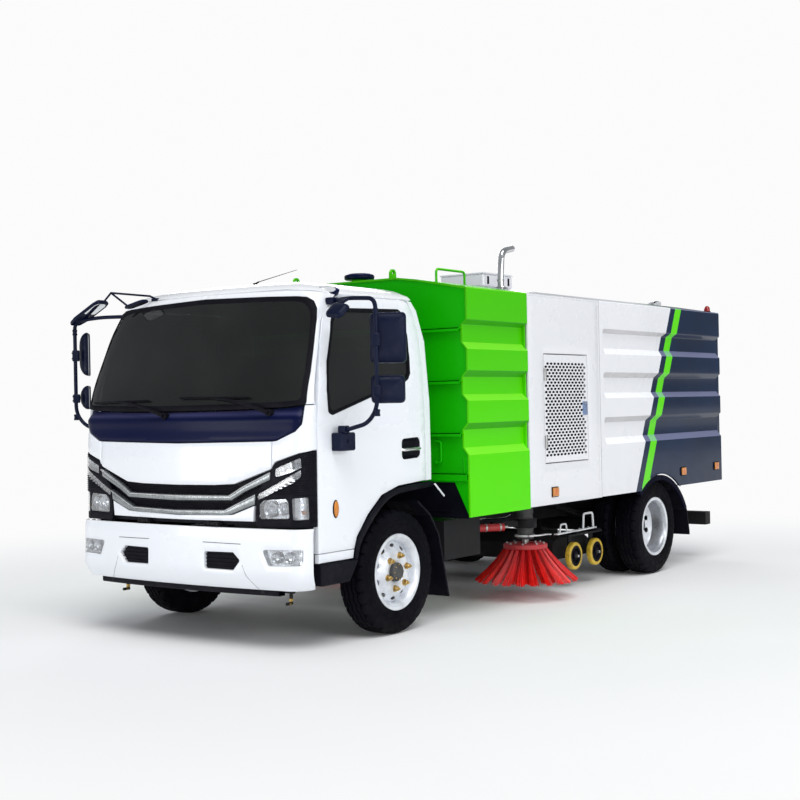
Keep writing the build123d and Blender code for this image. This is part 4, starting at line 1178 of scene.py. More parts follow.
# grooves and seams on the bumper as thin dark inlays
b = B()
for side in (1, -1):
    for pts2 in ([(.226, .620), (.55, .617)], [(.520, .498), (.545, .44), (.600, .372), (.615, .356)]):
        path = []
        for i in range(len(pts2) - 1):
            for j in range(8):
                t = j / 8
                x, z = pts2[i][0] + (pts2[i + 1][0] - pts2[i][0]) * t, pts2[i][1] + (pts2[i + 1][1] - pts2[i][1]) * t
                q = bump_lift(side * x, z, .0004)
                path.append((q[0], q[1] - FA, q[2]))
        b.tube(path, .0022 if len(pts2) == 2 else .0012, 0, 6)
b.done("bumper_seams", GREY, "chassis")
# fog lamps
for side, word in ((1, "left"), (-1, "right")):
    b = B()
    fog = [(side * x, z) for x, z in FOG]
    panel(b, fog, lambda x, z, d=0.0: bump_lift(x, z, d + .024), t=.004, lip=0, step=.03, m=0)
    for x, r in ((.755, .032), (.845, .032)):
        c = bump_lift(side * x, .548, .012)
        b.lathe([(.012, .004), (.010, r * .5), (.002, r * .85), (-.004, r), (-.002, r * 1.08)], (c[0], c[1] - FA, c[2]), "Y", 0, 14, True, False)
    panel(b, fog, lambda x, z, d=0.0: bump_lift(x, z, d + .002), t=.003, lip=0, step=.03, m=1)
    b.done("fog_lamp_" + word, [REFLECTOR, CLEARLENS], "chassis", sharp=14)

# wipers ----------------------------------------------------------------------
b = B()
for px, pz, tx0, tz0, tx1, tz1 in ((-.10, 1.362, -.80, 1.452, -.27, 1.458), (.70, 1.372, .02, 1.468, .54, 1.462)):
    p = surf(px, pz)
    q = surf_normal(px, pz)
    b.cyl((p.x, p.y - .012, pz), .020, .034, "Y", 0, 20)
    elbow = ((tx0 + tx1) / 2, (tz0 + tz1) / 2)
    pts = []
    for i in range(9):
        t = i / 8
        x, z = px + (elbow[0] - px) * t, pz + (elbow[1] - pz) * t + .018 * math.sin(math.pi * t)
        s = surf(x, z)
        n = surf_normal(x, z)
        off = .030 + .012 * math.sin(math.pi * t)
        pts.append((s.x + n.x * off, s.y + n.y * off, s.z))
    b.tube(pts, .0085, 0, 8, radii=[.013 - .007 * i / 8 for i in range(9)])
    pts2, pts3 = [], []
    for i in range(17):
        t = i / 16
        x, z = tx0 + (tx1 - tx0) * t, tz0 + (tz1 - tz0) * t
        s = surf(x, z)
        n = surf_normal(x, z)
        pts2.append((s.x + n.x * .022, s.y + n.y * .022, s.z))
        pts3.append((s.x + n.x * .010, s.y + n.y * .010, s.z - .002))
    b.tube(pts2, .0045, 0, 8)
    b.tube(pts3, .0055, 0, 6)
b.done("wipers", RUBBER_SEAL, "cab")

# arch lips and sills ---------------------------------------------------------
FLARE_OUT = [(-.412, .500), (-.376, .618), (-.263, .741), (-.125, .844), (.050, .891), (.335, .908), (.400, .912)]
FLARE_IN = [(.400, .878), (.050, .856), (-.104, .808), (-.236, .708), (-.345, .594), (-.384, .500)]
for side, word in ((1, "left"), (-1, "right")):
    b = B()
    fo = smooth_path(FLARE_OUT, 6)
    fi = smooth_path(FLARE_IN, 7)[::-1]
    rows = []
    n = min(len(fo), len(fi))
    for i in range(n):
        o = Vector(fo[int(i * (len(fo) - 1) / (n - 1))])
        q = Vector(fi[int(i * (len(fi) - 1) / (n - 1))])
        w = (q - o)
        rows.append([(side * .906, o), (side * .940, o), (side * .9475, o + w * .25), (side * .948, o + w * .6), (side * .940, q), (side * .90, q), (side * .80, q + w * .0)])
    rings = [[(x, FA + p.x, p.y) for x, p in row] for row in rows]
    b.rings(rings, 0, False)
    b.rings([[rings[0][k] for k in range(7)], [(p[0] * .999, p[1], p[2]) for p in rings[0]]], 0, False)
    b.prism(rounded([(-.735, .374), (-.735, .498), (-.388, .498), (-.386, .489), (-.472, .374)], .010, 3), "X", side * .880, side * .948, 0, .006)
    b.done("arch_lip_" + word, BLACK, "cab", rep=("cab_steps",))
    b = B()
    b.box(side * .760, side * .880, -.735, -.465, .376, .400, 0)
    for k in range(7):
        b.box(side * (.775 + k * .016), side * (.781 + k * .016), -.72, -.48, .400, .404, 0, .001)
    b.box(side * .758, side * .786, -.733, -.467, .376, .712, 0)
    b.done("step_tray_" + word, BLACK, "cab")

# roof marker, aerial
for side, word in ((1, "left"),):
    b = B()
    for u0, z0 in ((.93, 2.090),):
        c = Vector(on_cab(.895, 2.094))
        nrm = (Vector(surf_normal(.895, 2.094)) + Vector((.42, -.62, .10))).normalized()
        q = nrm.to_track_quat("Z", "X").to_matrix()
        for a, (r0, r1, h, mt) in enumerate(((.075, .032, .0, 1), (.052, .026, .006, 0))):
            rings = [[tuple(c + q @ Vector((r1 * math.cos(v * math.pi / 14), r0 * math.sin(v * math.pi / 14), -.030)) ) for v in range(28)]]
            for k in range(5):
                t = k / 4
                rr = math.cos(t * math.pi / 2)
                rings.append([tuple(c + q @ Vector((r1 * rr * math.cos(v * math.pi / 14), r0 * rr * math.sin(v * math.pi / 14), h + .012 * math.sin(t * math.pi / 2)))) for v in range(28)])
            b.rings(rings, mt, True, False, True)
    b.done("roof_marker_" + word, [WHITELENS, NAVY], "cab")
b = B()
b.lathe([(0, .016), (.006, .016), (.014, .009)], (.20, -.42, 2.160), "Z", 0, 16, True, True)
b.tube([(.20, -.42, 2.168), (.215, -.400, 2.182)], .005, 0, 8)
b.tube([(.215, -.400, 2.182), (.345, -.185, 2.262)], .0022, 0, 6, radii=[.003, .0016])
b.done("aerial", BLACK, "cab")

# mirrors ---------------------------------------------------------------------
def turned(c, ux, uy, uz, nx, ny, nz):
    """Local frame: u along, n across, w the remaining direction, about a point given as (x, station, z)."""
    U, N = Vector((ux, uy, uz)).normalized(), Vector((nx, ny, nz)).normalized()
    W = U.cross(N)
    C = Vector(V(*c))
    return lambda u, n, w: tuple(C + U * u + N * n + W * w)


for side, word in ((1, "left"), (-1, "right")):
    b = B()
    path = [(side * .860, -.468, 2.022), (side * 1.05, -.56, 2.022), (side * 1.268, -.602, 2.006), (side * 1.268, -.602, 1.385), (side * 1.190, -.590, 1.300), (side * 1.005, -.560, 1.262)]
    b.tube(bent(path, .06, 6), .0125, 0, 14)
    # ribbed sleeves where the bar turns
    for z in (1.93, 1.36):
        b.lathe([(-.020, .0125), (-.018, .0165), (-.008, .0165), (-.006, .0145), (.006, .0145), (.008, .0165), (.018, .0165), (.020, .0125)], (side * 1.268, -.602, z), "Z", 0, 20, True, True)
    # brackets on the door
    b.prism(rounded([(-.606, 1.142), (-.606, 1.248), (-.470, 1.248), (-.470, 1.142)], .012, 3), "X", side * .930, side * 1.010, 0, .008)
    b.prism(rounded([(-.588, 1.245), (-.588, 1.288), (-.530, 1.288), (-.530, 1.245)], .010, 3), "X", side * .965, side * 1.015, 0, .006)
    b.lathe([(0, .012), (side * .005, .012), (side * .007, .008)], (side * 1.010, -.540, 1.195), "X", 0, 16, True, True)
    b.prism(rounded([(-.520, 1.998), (-.520, 2.040), (-.425, 2.040), (-.425, 1.998)], .010, 3), "X", side * .835, side * .895, 0, .006)
    # heads: rounded shells open to the glass, turned towards the driver, clamped to the bar behind them
    turn = math.radians(36 if side > 0 else 45)
    start = -.034 if side > 0 else -.010
    wide = (.127 + .022 * math.sin(turn)) / math.cos(turn)
    ux, uy = side * math.cos(turn), math.sin(turn)
    nx, ny = -side * math.sin(turn), math.cos(turn)
    for length, z0, z1 in ((wide, 1.640, 1.930), (wide - .012, 1.412, 1.572)):
        hx, hz = (length - start) / 2, (z1 - z0) / 2
        cu, cz = (length + start) / 2, (z0 + z1) / 2
        base = rounded([(-hx, -hz), (hx, -hz), (hx, hz), (-hx, hz)], .030, 5)

        def at(u, w, z):
            return (side * 1.268 + ux * u + nx * w, FA - .602 + uy * u + ny * w, z)
        rings = []
        dome = ((.30, .0224), (.60, .0236), (.80, .0280), (.93, .0385), (.985, .052), (1.0, .064)) if side > 0 else ((.22, .0224), (.45, .0262), (.65, .0335), (.82, .0440), (.93, .0560), (.985, .0660))
        for sc, w in dome + ((1.0, .0715), (.994, .0722), (.994, .0745), (1.0, .0752), (1.0, .0830), (.965, .0857), (.955, .0800)):
            rings.append([at(cu + px * sc, w, cz + pz * (1 - (1 - sc) * hx / hz)) for px, pz in base])
        if side < 0:
            rings = [r[::-1] for r in rings]
        b.rings(rings, 0, True, True, False)
        rg = [[at(cu + px * .955, .0805, cz + pz * (1 - .045 * hx / hz)) for px, pz in base], [at(cu + px * .3, .0822, cz + pz * .6) for px, pz in base]]
        b.rings(rg, 1, True, False, True)
        hh = .037 if z0 > 1.6 else .029
        zc = cz - (z1 - z0) * .04
        blk = rounded([(-.024, -.019), (.024, -.019), (.024, .027), (-.024, .027)], .011, 4)
        rings = []
        for sc, z in ((.86, -hh), (1, -hh + .005), (1, hh - .005), (.86, hh)):
            rings.append([at(u * sc, .004 + (w - .004) * sc, zc + z) for u, w in blk])
        b.rings(rings, 0, True, True, True)
        for z in (-hh * .5, hh * .5):
            b.tube([(p[0], p[1] - FA, p[2]) for p in (at(0, -.0235, zc + z), at(0, -.016, zc + z))], .006, 0, 6)
    if side > 0:
        # small look-down mirror under the upper arm
        at = turned((1.040, -.665, 1.952), .97, -.24, 0, 0, 0, 1)
        q = Matrix.Rotation(math.radians(46), 3, "X") @ Matrix.Rotation(math.radians(-12), 3, "Z")
        c = Vector(V(1.040, -.665, 1.952))
        base = rounded([(-.066, -.054), (.066, -.054), (.066, .054), (-.066, .054)], .034, 6)
        rings = []
        for sc, h in ((.25, .0165), (.6, .0145), (.85, .008), (.97, -.002), (1.0, -.010), (1.0, -.0155), (.95, -.0165), (.94, -.012)):
            rings.append([tuple(c + q @ Vector((u * sc, w * sc, h))) for u, w in base])
        b.rings(rings, 0, True, True, False)
        b.rings([[tuple(c + q @ Vector((u * sc, w * sc, h))) for u, w in base] for sc, h in ((.94, -.0125), (.4, -.0140))], 1, True, False, True)
        b.tube(bent([(1.045, -.655, 1.970), (1.050, -.618, 1.996), (1.052, -.562, 2.020)], .02, 4), .0085, 0, 10)
    else:
        # long kerb mirror rising inboard from the top of the bar, glass underneath
        C = Vector(V(-1.127, -.602, 2.058))
        a = math.radians(24.7)
        U, W = Vector((math.cos(a), 0, math.sin(a))), Vector((-math.sin(a), 0, math.cos(a)))
        base = rounded([(-.161, -.040), (-.09, -.060), (.11, -.060), (.161, -.046), (.161, .046), (.11, .060), (-.09, .060), (-.161, .040)], .022, 4)
        rings = []
        for sx, sy, w in ((.80, .30, .0165), (.92, .70, .0140), (.98, .92, .0060), (1, 1, -.004), (1, 1, -.0135), (.985, .965, -.0165), (.975, .94, -.012)):
            rings.append([tuple(C + U * (p * sx) + Vector((0, q2 * sy, 0)) + W * w) for p, q2 in base])
        b.rings(rings, 0, True, True, False)
        # the glass fills the inner half, the outer half is a dark housing
        b.rings([[tuple(C + U * (p * sx) + Vector((0, q2 * sy, 0)) + W * w) for p, q2 in base] for sx, sy, w in ((.975, .94, -.0125), (.6, .4, -.0145))], 0, True, False, True)
        face = rounded([(.000, -.046), (.118, -.046), (.142, -.030), (.142, .030), (.118, .046), (.000, .046)], .014, 4)
        b.rings([[tuple(C + U * (.074 + (p - .074) * sc) + Vector((0, q2 * sc, 0)) + W * w) for p, q2 in face] for sc, w in ((1, -.0130), (.98, -.0152), (.5, -.0160))], 1, True, False, True)
        b.tube([(-1.268, -.602, 1.985), (-1.262, -.602, 1.998), (-1.22, -.602, 2.020)], .0115, 0, 10)
    b.done("mirror_set_" + word, [MIRROR_BLACK, MIRROR], "door_" + word, rep=("mirror_" + word,))

# front mirror on its stays, over the right-hand end of the roof edge
b = B()
for p0, p1 in (((-.505, -.570, 2.106), (-.520, -.622, 2.128)), ((-.520, -.622, 2.128), (-.566, -.690, 2.134)), ((-.566, -.690, 2.134), (-.807, -.690, 2.163)), ((-.807, -.690, 2.163), (-.636, -.700, 2.064)),
               ((-.807, -.690, 2.163), (-.868, -.690, 2.116))):
    b.tube([p0, p1], .0066, 0, 12)
for p in ((-.520, -.622, 2.128), (-.566, -.690, 2.134), (-.807, -.690, 2.163), (-.868, -.690, 2.116)):
    b.lathe([(-.0066, .0008), (-.0055, .004), (-.003, .0060), (0, .0068), (.003, .0060), (.0055, .004), (.0066, .0008)], p, "Z", 0, 14, True, True)
b.prism(rounded([(-.602, 2.094), (-.602, 2.1145), (-.554, 2.1145), (-.554, 2.1085)], .004, 2), "X", -.531, -.479, 0, .003)
C = Vector(V(-.560, -.702, 2.076))
a = math.radians(11.5)
U, W = Vector((math.cos(a), 0, math.sin(a))), Vector((-math.sin(a), 0, math.cos(a)))
base = rounded([(-.087, -.026), (-.055, -.035), (.055, -.035), (.087, -.026), (.087, .026), (.055, .035), (-.055, .035), (-.087, .026)], .014, 4)
b.rings([[tuple(C + U * (p * sc) + Vector((0, q2 * sc2, 0)) + W * w) for p, q2 in base] for sc, sc2, w in ((.86, .4, .0097), (.96, .82, .0075), (1, 1, .001), (1, 1, -.0080), (.98, .95, -.0098), (.97, .93, -.0072))], 0, True, True, False)
b.rings([[tuple(C + U * (p * sc) + Vector((0, q2 * sc2, 0)) + W * w) for p, q2 in base] for sc, sc2, w in ((.97, .93, -.0075), (.5, .4, -.0088))], 1, True, False, True)
b.done("front_mirror_skin", [MIRROR_BLACK, MIRROR], "cab", rep=("front_mirror",) if "front_mirror" in frame["nodes"] else ())
#---SPLIT2---
# ---------------------------------------------------------------- wheels
TYRE = Mat("tyre_rubber", (.002, .002, .004), .62, Specular_IOR_Level=.05)
_wz = TYRE.xyz()[2]
_dust = TYRE.math("MULTIPLY", TYRE.ramp(_wz, 1, .1, .02, .5), TYRE.ramp(TYRE.noise(13, 5), .15, 1, .35, .7))
TYRE.color(TYRE.mix(TYRE.math("MULTIPLY", _dust, .03), TYRE.mix(TYRE.ramp(TYRE.noise(4, 3), 0, 1, .3, .7), (.0015, .0015, .0035, 1), (.0035, .0035, .0065, 1)), (.16, .15, .14, 1)))
TYRE.rough(TYRE.ramp(TYRE.noise(35, 4), .52, .74, .3, .7))
TYRE.bump(TYRE.noise(240, 3), .3, .0008)

SIDEWALL = ((.0730, .2060), (.0745, .2150), (.0740, .2270), (.0760, .2330), (.0800, .2345), (.0850, .2360), (.0880, .2400), (.0902, .2500), (.0890, .2515), (.0910, .2600),
            (.0930, .2740), (.0945, .2850), (.0950, .2900), (.0938, .2915), (.0935, .3040), (.0945, .3055), (.0938, .3120), (.0920, .3250), (.0905, .3360), (.0890, .3440), (.0868, .3500))


def tyre_into(b, x, y, side, lugs=30, wall=SIDEWALL):
    """Moulded tyre with zigzag grooves, shoulder blocks and raised sidewall rings. x is the middle of the tyre."""
    n = 8                              # columns of points in one pitch
    cols = [0.0, .10, .16, .30, .50, .64, .70, .86]
    tread = [(.0868, .3500), (.0860, .3560), (.0835, .3635), (.0790, .3690), (.0720, .3735), (.0600, .3762), (.0560, .3767)]
    inner = [(.0535, .3768, 0), (.0515, .3670, 1), (.0465, .3670, 1), (.0445, .3772, 0), (.0300, .3778, 0), (.0215, .3780, 0), (.0195, .3680, 1), (.0145, .3680, 1), (.0125, .3780, 0), (.0040, .3780, 0)]
    rings = []
    N = lugs * n
    cy, cz = FA + y, .378
    for i in range(N):
        p, c = divmod(i, n)
        th = 2 * math.pi * (p + cols[c]) / lugs
        zig = .0035 * (1 if cols[c] < .5 else -1) * (1 - abs((cols[c] * 2) % 1 - .5) * .8)
        slot = c in (1, 2)
        slot2 = c in (5, 6)
        ring = []

        def put(a, r):
            ring.append((x + side * a, cy + r * math.cos(th), cz + r * math.sin(th)))
        for a, r in [q for q in wall]:
            k = 0.0
            if r > .335 and r < .349 and c % 2 == 0:
                k = -.0012
            put(a + k, r)
        for a, r in tread[1:]:
            put(a, r - (.011 if slot and r > .357 else 0) * (1 if r > .362 else .5))
        for a, r, g in inner:
            cut = .006 if (slot2 and not g and .022 < a < .050) else 0
            put(a + zig, r - cut)
        for a, r, g in inner[::-1]:
            cut = .006 if (slot and not g and .022 < a < .050) else 0
            put(-a + zig, r - cut)
        for a, r in tread[1:][::-1]:
            put(-a, r - (.011 if slot2 and r > .357 else 0) * (1 if r > .362 else .5))
        for a, r in [q for q in wall][::-1]:
            put(-a, r)
        rings.append(ring)
    rings.append(rings[0])
    b.rings(rings, 0, False)


def disc_into(b, x, y, side, prof, r_out, r_in, slots, slot_r, slot_w, slot_h, nuts=6, nut_r=.1025, m=0, m2=1, step=.022):
    """Pressed wheel disc: prof gives the distance outwards for a radius; slots are oval openings."""
    def lift(u, v, d=0.0):
        r = math.hypot(u, v)
        return (x + side * (pchip([q[0] for q in prof], [q[1] for q in prof], r) - d), FA + y + u, .378 + v)
    outer = [(r_out * math.cos(t * math.pi / 36), r_out * math.sin(t * math.pi / 36)) for t in range(72)]
    holes = [[(r_in * math.cos(t * math.pi / 16), r_in * math.sin(t * math.pi / 16)) for t in range(32)]]
    for k in range(slots):
        a = 2 * math.pi * (k + .5) / slots
        h = []
        for t in range(20):
            e = 2 * math.pi * t / 20
            u = slot_r + slot_h * math.cos(e)
            w = slot_w * math.sin(e)
            h.append((u * math.cos(a) - w * math.sin(a), u * math.sin(a) + w * math.cos(a)))
        holes.append(h)
    panel(b, outer, lift, holes=holes, t=.007, lip=.002, step=step, m=m)


def nuts_into(b, x, y, side, n, pcd, m, r=.0155, h=.026):
    for k in range(n):
        a = 2 * math.pi * (k + .25) / n
        cy, cz = y + pcd * math.cos(a), .378 + pcd * math.sin(a)
        b.lathe([(-.002, r * 1.35), (side * .004, r * 1.35), (side * .005, r)], (x, cy, cz), "X", m, 24)
        b.lathe([(side * .004, r), (side * (h - .003), r), (side * h, r * .85), (side * h, r * .5), (side * (h + .010), r * .45), (side * (h + .012), r * .36)], (x, cy, cz), "X", m, 6, False, True)


for side, word in ((1, "left"), (-1, "right")):
    b = B()
    tyre_into(b, side * .862, 0, side)
    b.done("front_tyre_skin_" + word, TYRE, "front_wheel_" + word, rep=("front_tyre_" + word,), sharp=40)
    b = B()
    X = side * .862
    barrel = [(-.080, .2310), (-.086, .2320), (-.086, .2140), (-.080, .2060), (-.066, .1960), (-.040, .1900), (.020, .1880), (.040, .1880), (.060, .1925), (.074, .1990), (.083, .2110), (.0865, .2150),
              (.0875, .2300), (.0865, .2335), (.0835, .2345), (.0800, .2335), (.0775, .2310), (.0760, .2060), (.0740, .2052), (.030, .1960), (-.060, .2052), (-.075, .2052), (-.0775, .2310), (-.080, .2310)]
    b.lathe([(side * a, r) for a, r in barrel], (X, 0, .378), "X", 0, 96)
    prof = [(.030, .062), (.060, .064), (.090, .079), (.115, .0805), (.128, .076), (.140, .062), (.158, .046), (.176, .040), (.1885, .034)]
    disc_into(b, X, 0, side, prof, .1885, .058, 10, .1625, .0215, .0105)
    # hub bell, cap and studs
    b.lathe([(side * .020, .057), (side * .079, .057), (side * .086, .0555), (side * .092, .050), (side * .094, .044), (side * .0965, .040), (side * .1025, .036), (side * .104, .026), (side * .104, .008)], (X, 0, .378), "X", 2, 48, False, True)
    b.lathe([(-side * .08, .064), (side * .020, .064), (side * .020, .050)], (X, 0, .378), "X", 2, 48)
    for k in range(8):
        a = 2 * math.pi * k / 8
        b.lathe([(side * .092, .0042), (side * .0985, .0042), (side * .0995, .003)], (X, .0455 * math.cos(a), .378 + .0455 * math.sin(a)), "X", 1, 6, False, True)
    nuts_into(b, X + side * .0805, 0, side, 6, .1025, 1)
    b.done("front_rim_skin_" + word, [RIM, GOLD, IRON], "front_wheel_" + word, rep=("front_rim_" + word,))

    # twin wheel
    b = B()
    tyre_into(b, side * .982, 3.360, side)
    tyre_into(b, side * .742, 3.360, side)
    b.done("twin_tyres_skin_" + word, TYRE, "rear_wheel_" + word, rep=("rear_tyres_" + word,), sharp=40)
    b = B()
    for X, s2 in ((side * .982, side), (side * .742, -side)):
        # barrel inside in the silver with painted shade, the outer flange in the plain silver
        cut0, cut1 = barrel.index((.083, .2110)), barrel.index((.0760, .2060))
        for part, m in ((barrel[:cut0 + 1], 3), (barrel[cut0:cut1], 0), (barrel[cut1 - 1:], 3)):
            b.lathe([(s2 * a, r) for a, r in part], (X, 3.360, .378), "X", m, 96)
    prof = [(.030, .010), (.070, .010), (.088, .012), (.120, .014), (.134, .018), (.150, .042), (.168, .062), (.186, .078), (.1925, .090)]
    disc_into(b, side * .862, 3.360, side, prof, .1925, .086, 10, .1600, .021, .011)
    disc_into(b, side * .862, 3.360, -side, prof, .1925, .086, 10, .1600, .021, .011)
    c = (side * .862, 3.360, .378)
    b.lathe([(-side * .160, .086), (-side * .020, .090), (side * .014, .090), (side * .016, .084), (side * .050, .080), (side * .060, .074), (side * .064, .060), (side * .086, .058), (side * .091, .052), (side * .092, .020)], c, "X", 2, 48, True, True)
    for k in range(8):
        a = 2 * math.pi * k / 8
        b.lathe([(side * .064, .005), (side * .071, .005), (side * .072, .0035)], (c[0], c[1] + .067 * math.cos(a), c[2] + .067 * math.sin(a)), "X", 1, 6, False, True)
    nuts_into(b, side * (.862 + .014), 3.360, side, 6, .1110, 1, r=.0165, h=.034)
    b.done("twin_rims_skin_" + word, [RIM, GOLD, IRON, RIM_SHADED], "rear_wheel_" + word, rep=("rear_rims_" + word,))

# ---------------------------------------------------------------- side brushes
BRISTLE = Mat("bristle_red", (.62, .012, .012), .42)
_n = BRISTLE.ramp(BRISTLE.noise(60, 3, (1, 1, .15)), 0, 1, .3, .7)
_z = BRISTLE.ramp(BRISTLE.xyz()[2], 0, 1, .12, .36)
BRISTLE.color(BRISTLE.mix(_z, BRISTLE.mix(_n, (.84, .010, .006, 1), (.62, .008, .008, 1)), BRISTLE.mix(_n, (.60, .006, .008, 1), (.42, .006, .010, 1))))
BRISTLE.rough(BRISTLE.ramp(BRISTLE.noise(80, 2), .32, .5, .3, .7))
PLATE_RED = paint("brush_plate_red", (.48, .010, .018), rough=.42, coat=.1, dust=.2)
for side, word in ((1, "left"), (-1, "right")):
    rnd = random.Random(31 if side > 0 else 57)
    b = B()
    cx, cy = side * .840, 1.700
    b.lathe([(.354, .020), (.354, .150), (.357, .157), (.366, .1585), (.384, .1585), (.388, .155), (.388, .110), (.392, .104), (.392, .060), (.388, .056), (.388, .020)], (cx, cy, 0), "Z", 0, 72, True, True)
    for k in range(8):
        a = 2 * math.pi * (k + .5) / 8
        b.lathe([(.388, .010), (.391, .010), (.3915, .0075), (.399, .0075), (.400, .006)], (cx + .132 * math.cos(a), cy + .132 * math.sin(a), 0), "Z", 1, 6, False, True)
    for k in range(6):
        a = 2 * math.pi * k / 6
        b.lathe([(.392, .0085), (.400, .0085), (.401, .007)], (cx + .082 * math.cos(a), cy + .082 * math.sin(a), 0), "Z", 1, 6, False, True)
    b.done("brush_plate_" + word, [PLATE_RED, STEEL], "brush_" + word, rep=("side_brush_" + word,))
    b = B()
    for row, (count, r0, r1, z1, wid, each) in enumerate(((22, .143, .373, .121, .040, 34), (16, .100, .285, .122, .036, 24))):
        for k in range(count):
            a0 = 2 * math.pi * (k + .5 * row + rnd.uniform(-.12, .12)) / count
            lean = rnd.uniform(-.05, .05)
            rr1 = r1 - rnd.uniform(0, .014)
            for j in range(each):
                # start point within the tuft hole, end point in a flat fan
                u, w = rnd.uniform(-1, 1), rnd.uniform(-1, 1)
                if u * u + w * w > 1:
                    u, w = u * .6, w * .6
                f = rnd.uniform(-1, 1)
                rs, ts = r0 + .009 * u, .010 * w
                re = rr1 - abs(f) ** 2 * .010 + rnd.uniform(-.016, .002)
                te = wid * (.62 * w + .38 * f) + rnd.uniform(-.003, .003)
                ze = z1 + rnd.uniform(0, .014)
                pts = []
                for q in range(4):
                    t = q / 3
                    r = rs + (re - rs) * (t * .86 + .14 * t * t)
                    tt = ts + (te - ts) * t ** 1.15 + lean * .05 * math.sin(math.pi * t)
                    z = .356 + (ze - .356) * (t * 1.06 - .06 * t * t)
                    ca, sa = math.cos(a0), math.sin(a0)
                    pts.append((cx + r * ca - tt * sa, cy + r * sa + tt * ca, z))
                b.tube(pts, .0028, 0, 4, radii=[.0028, .0029, .0028, .0022])
    b.done("brush_bristles_" + word, BRISTLE, "brush_" + word, sharp=80)
    # motor with its flanges, a steel collar and bolts
    b = B()
    b.lathe([(.420, .030), (.420, .058), (.424, .063), (.436, .063), (.440, .058), (.486, .0575), (.490, .063), (.502, .0635)], (cx, cy, 0), "Z", 0, 40, True, False)
    b.lathe([(.566, .0635), (.572, .0635), (.574, .058), (.600, .056), (.604, .061), (.640, .061), (.648, .056), (.650, .030)], (cx, cy, 0), "Z", 0, 40, False, True)
    b.lathe([(.502, .0635), (.566, .0635)], (cx, cy, 0), "Z", 0, 40)
    b.lathe([(.3930, .022), (.420, .022)], (cx, cy, 0), "Z", 1, 24)
    for k in range(4):
        a = math.pi / 4 + k * math.pi / 2
        b.lathe([(.644, .008), (.6485, .008), (.6495, .006)], (cx + .044 * math.cos(a), cy + .044 * math.sin(a), 0), "Z", 1, 6, False, True)
    b.done("brush_motor_skin_" + word, [IRON, STEEL], "brush_head_" + word, rep=("brush_motor_" + word,))

# ---------------------------------------------------------------- casters
YELLOW = Mat("caster_yellow", (.62, .40, .03), .42)
YELLOW.color(YELLOW.mix(YELLOW.ramp(YELLOW.noise(22, 4), 0, 1, .35, .7), (.66, .45, .035, 1), (.42, .28, .03, 1)))
YELLOW.rough(YELLOW.ramp(YELLOW.noise(40, 3), .34, .52, .3, .7))
YELLOW.bump(YELLOW.noise(150, 2), .15, .0008)
for side, word in ((1, "left"), (-1, "right")):
    for y, place in ((2.325, "front"), (2.660, "rear")):
        b = B()
        c = (side * .888, y, .236)
        prof = [(-.020, .078), (-.022, .086), (-.021, .096), (-.017, .102), (-.009, .104), (.009, .104), (.017, .102), (.021, .096), (.022, .086), (.020, .078), (.0, .076), (-.020, .078)]
        b.lathe(prof, c, "X", 0, 72)
        rim = [(-.018, .060), (-.019, .078), (.019, .078), (.018, .060), (.008, .058), (-.008, .058), (-.018, .060)]
        b.lathe(rim, c, "X", 1, 48)
        hub = [(-.021, .0125), (-.021, .026), (-.018, .028), (.018, .028), (.021, .026), (.021, .0125), (-.021, .0125)]
        b.lathe(hub, c, "X", 1, 32)

        def lift(u, v, d=0.0, s=side, c=c):
            return (c[0] + s * (.006 - d), FA + c[1] + u, c[2] + v)
        outer = [(.060 * math.cos(t * math.pi / 20), .060 * math.sin(t * math.pi / 20)) for t in range(40)]
        holes = [[(.025 * math.cos(t * math.pi / 12), .025 * math.sin(t * math.pi / 12)) for t in range(24)]]
        for k in range(6):
            a = 2 * math.pi * k / 6
            holes.append([(.0435 * math.cos(a) + .0085 * math.cos(t * math.pi / 6), .0435 * math.sin(a) + .0085 * math.sin(t * math.pi / 6)) for t in range(12)])
        panel(b, outer, lift, holes=holes, t=.010, lip=.001, step=.014, m=1)
        for k in range(6):
            a = 2 * math.pi * (k + .5) / 6
            p0 = (c[0] + side * .004, c[1] + .027 * math.cos(a), c[2] + .027 * math.sin(a))
            p1 = (c[0] + side * .006, c[1] + .060 * math.cos(a), c[2] + .060 * math.sin(a))
            b.tube([p0, p1], .0045, 1, 8)
        b.done("caster_skin_" + place + "_" + word, [YELLOW, BLACK], "caster_" + place + "_" + word, rep=("caster_" + place + "_" + word,))
# ---------------------------------------------------------------- body: tank, engine bay, hopper, tailgate
GROOVE = ((1.939, 1.911, 1.796, 1.751), (1.613, 1.574, 1.460, 1.419), (1.275, 1.235, 1.119, 1.070))
HW = 1.120


def groove_in(z, depth=.038):
    """How far the side lies inside the flat panel at a height."""
    for za, zb, zc, zd in GROOVE:
        if zd <= z <= za:
            if z >= zb:
                return depth * (za - z) / (za - zb)
            if z <= zc:
                return depth * (z - zd) / (zc - zd)
            return depth
    return 0.0


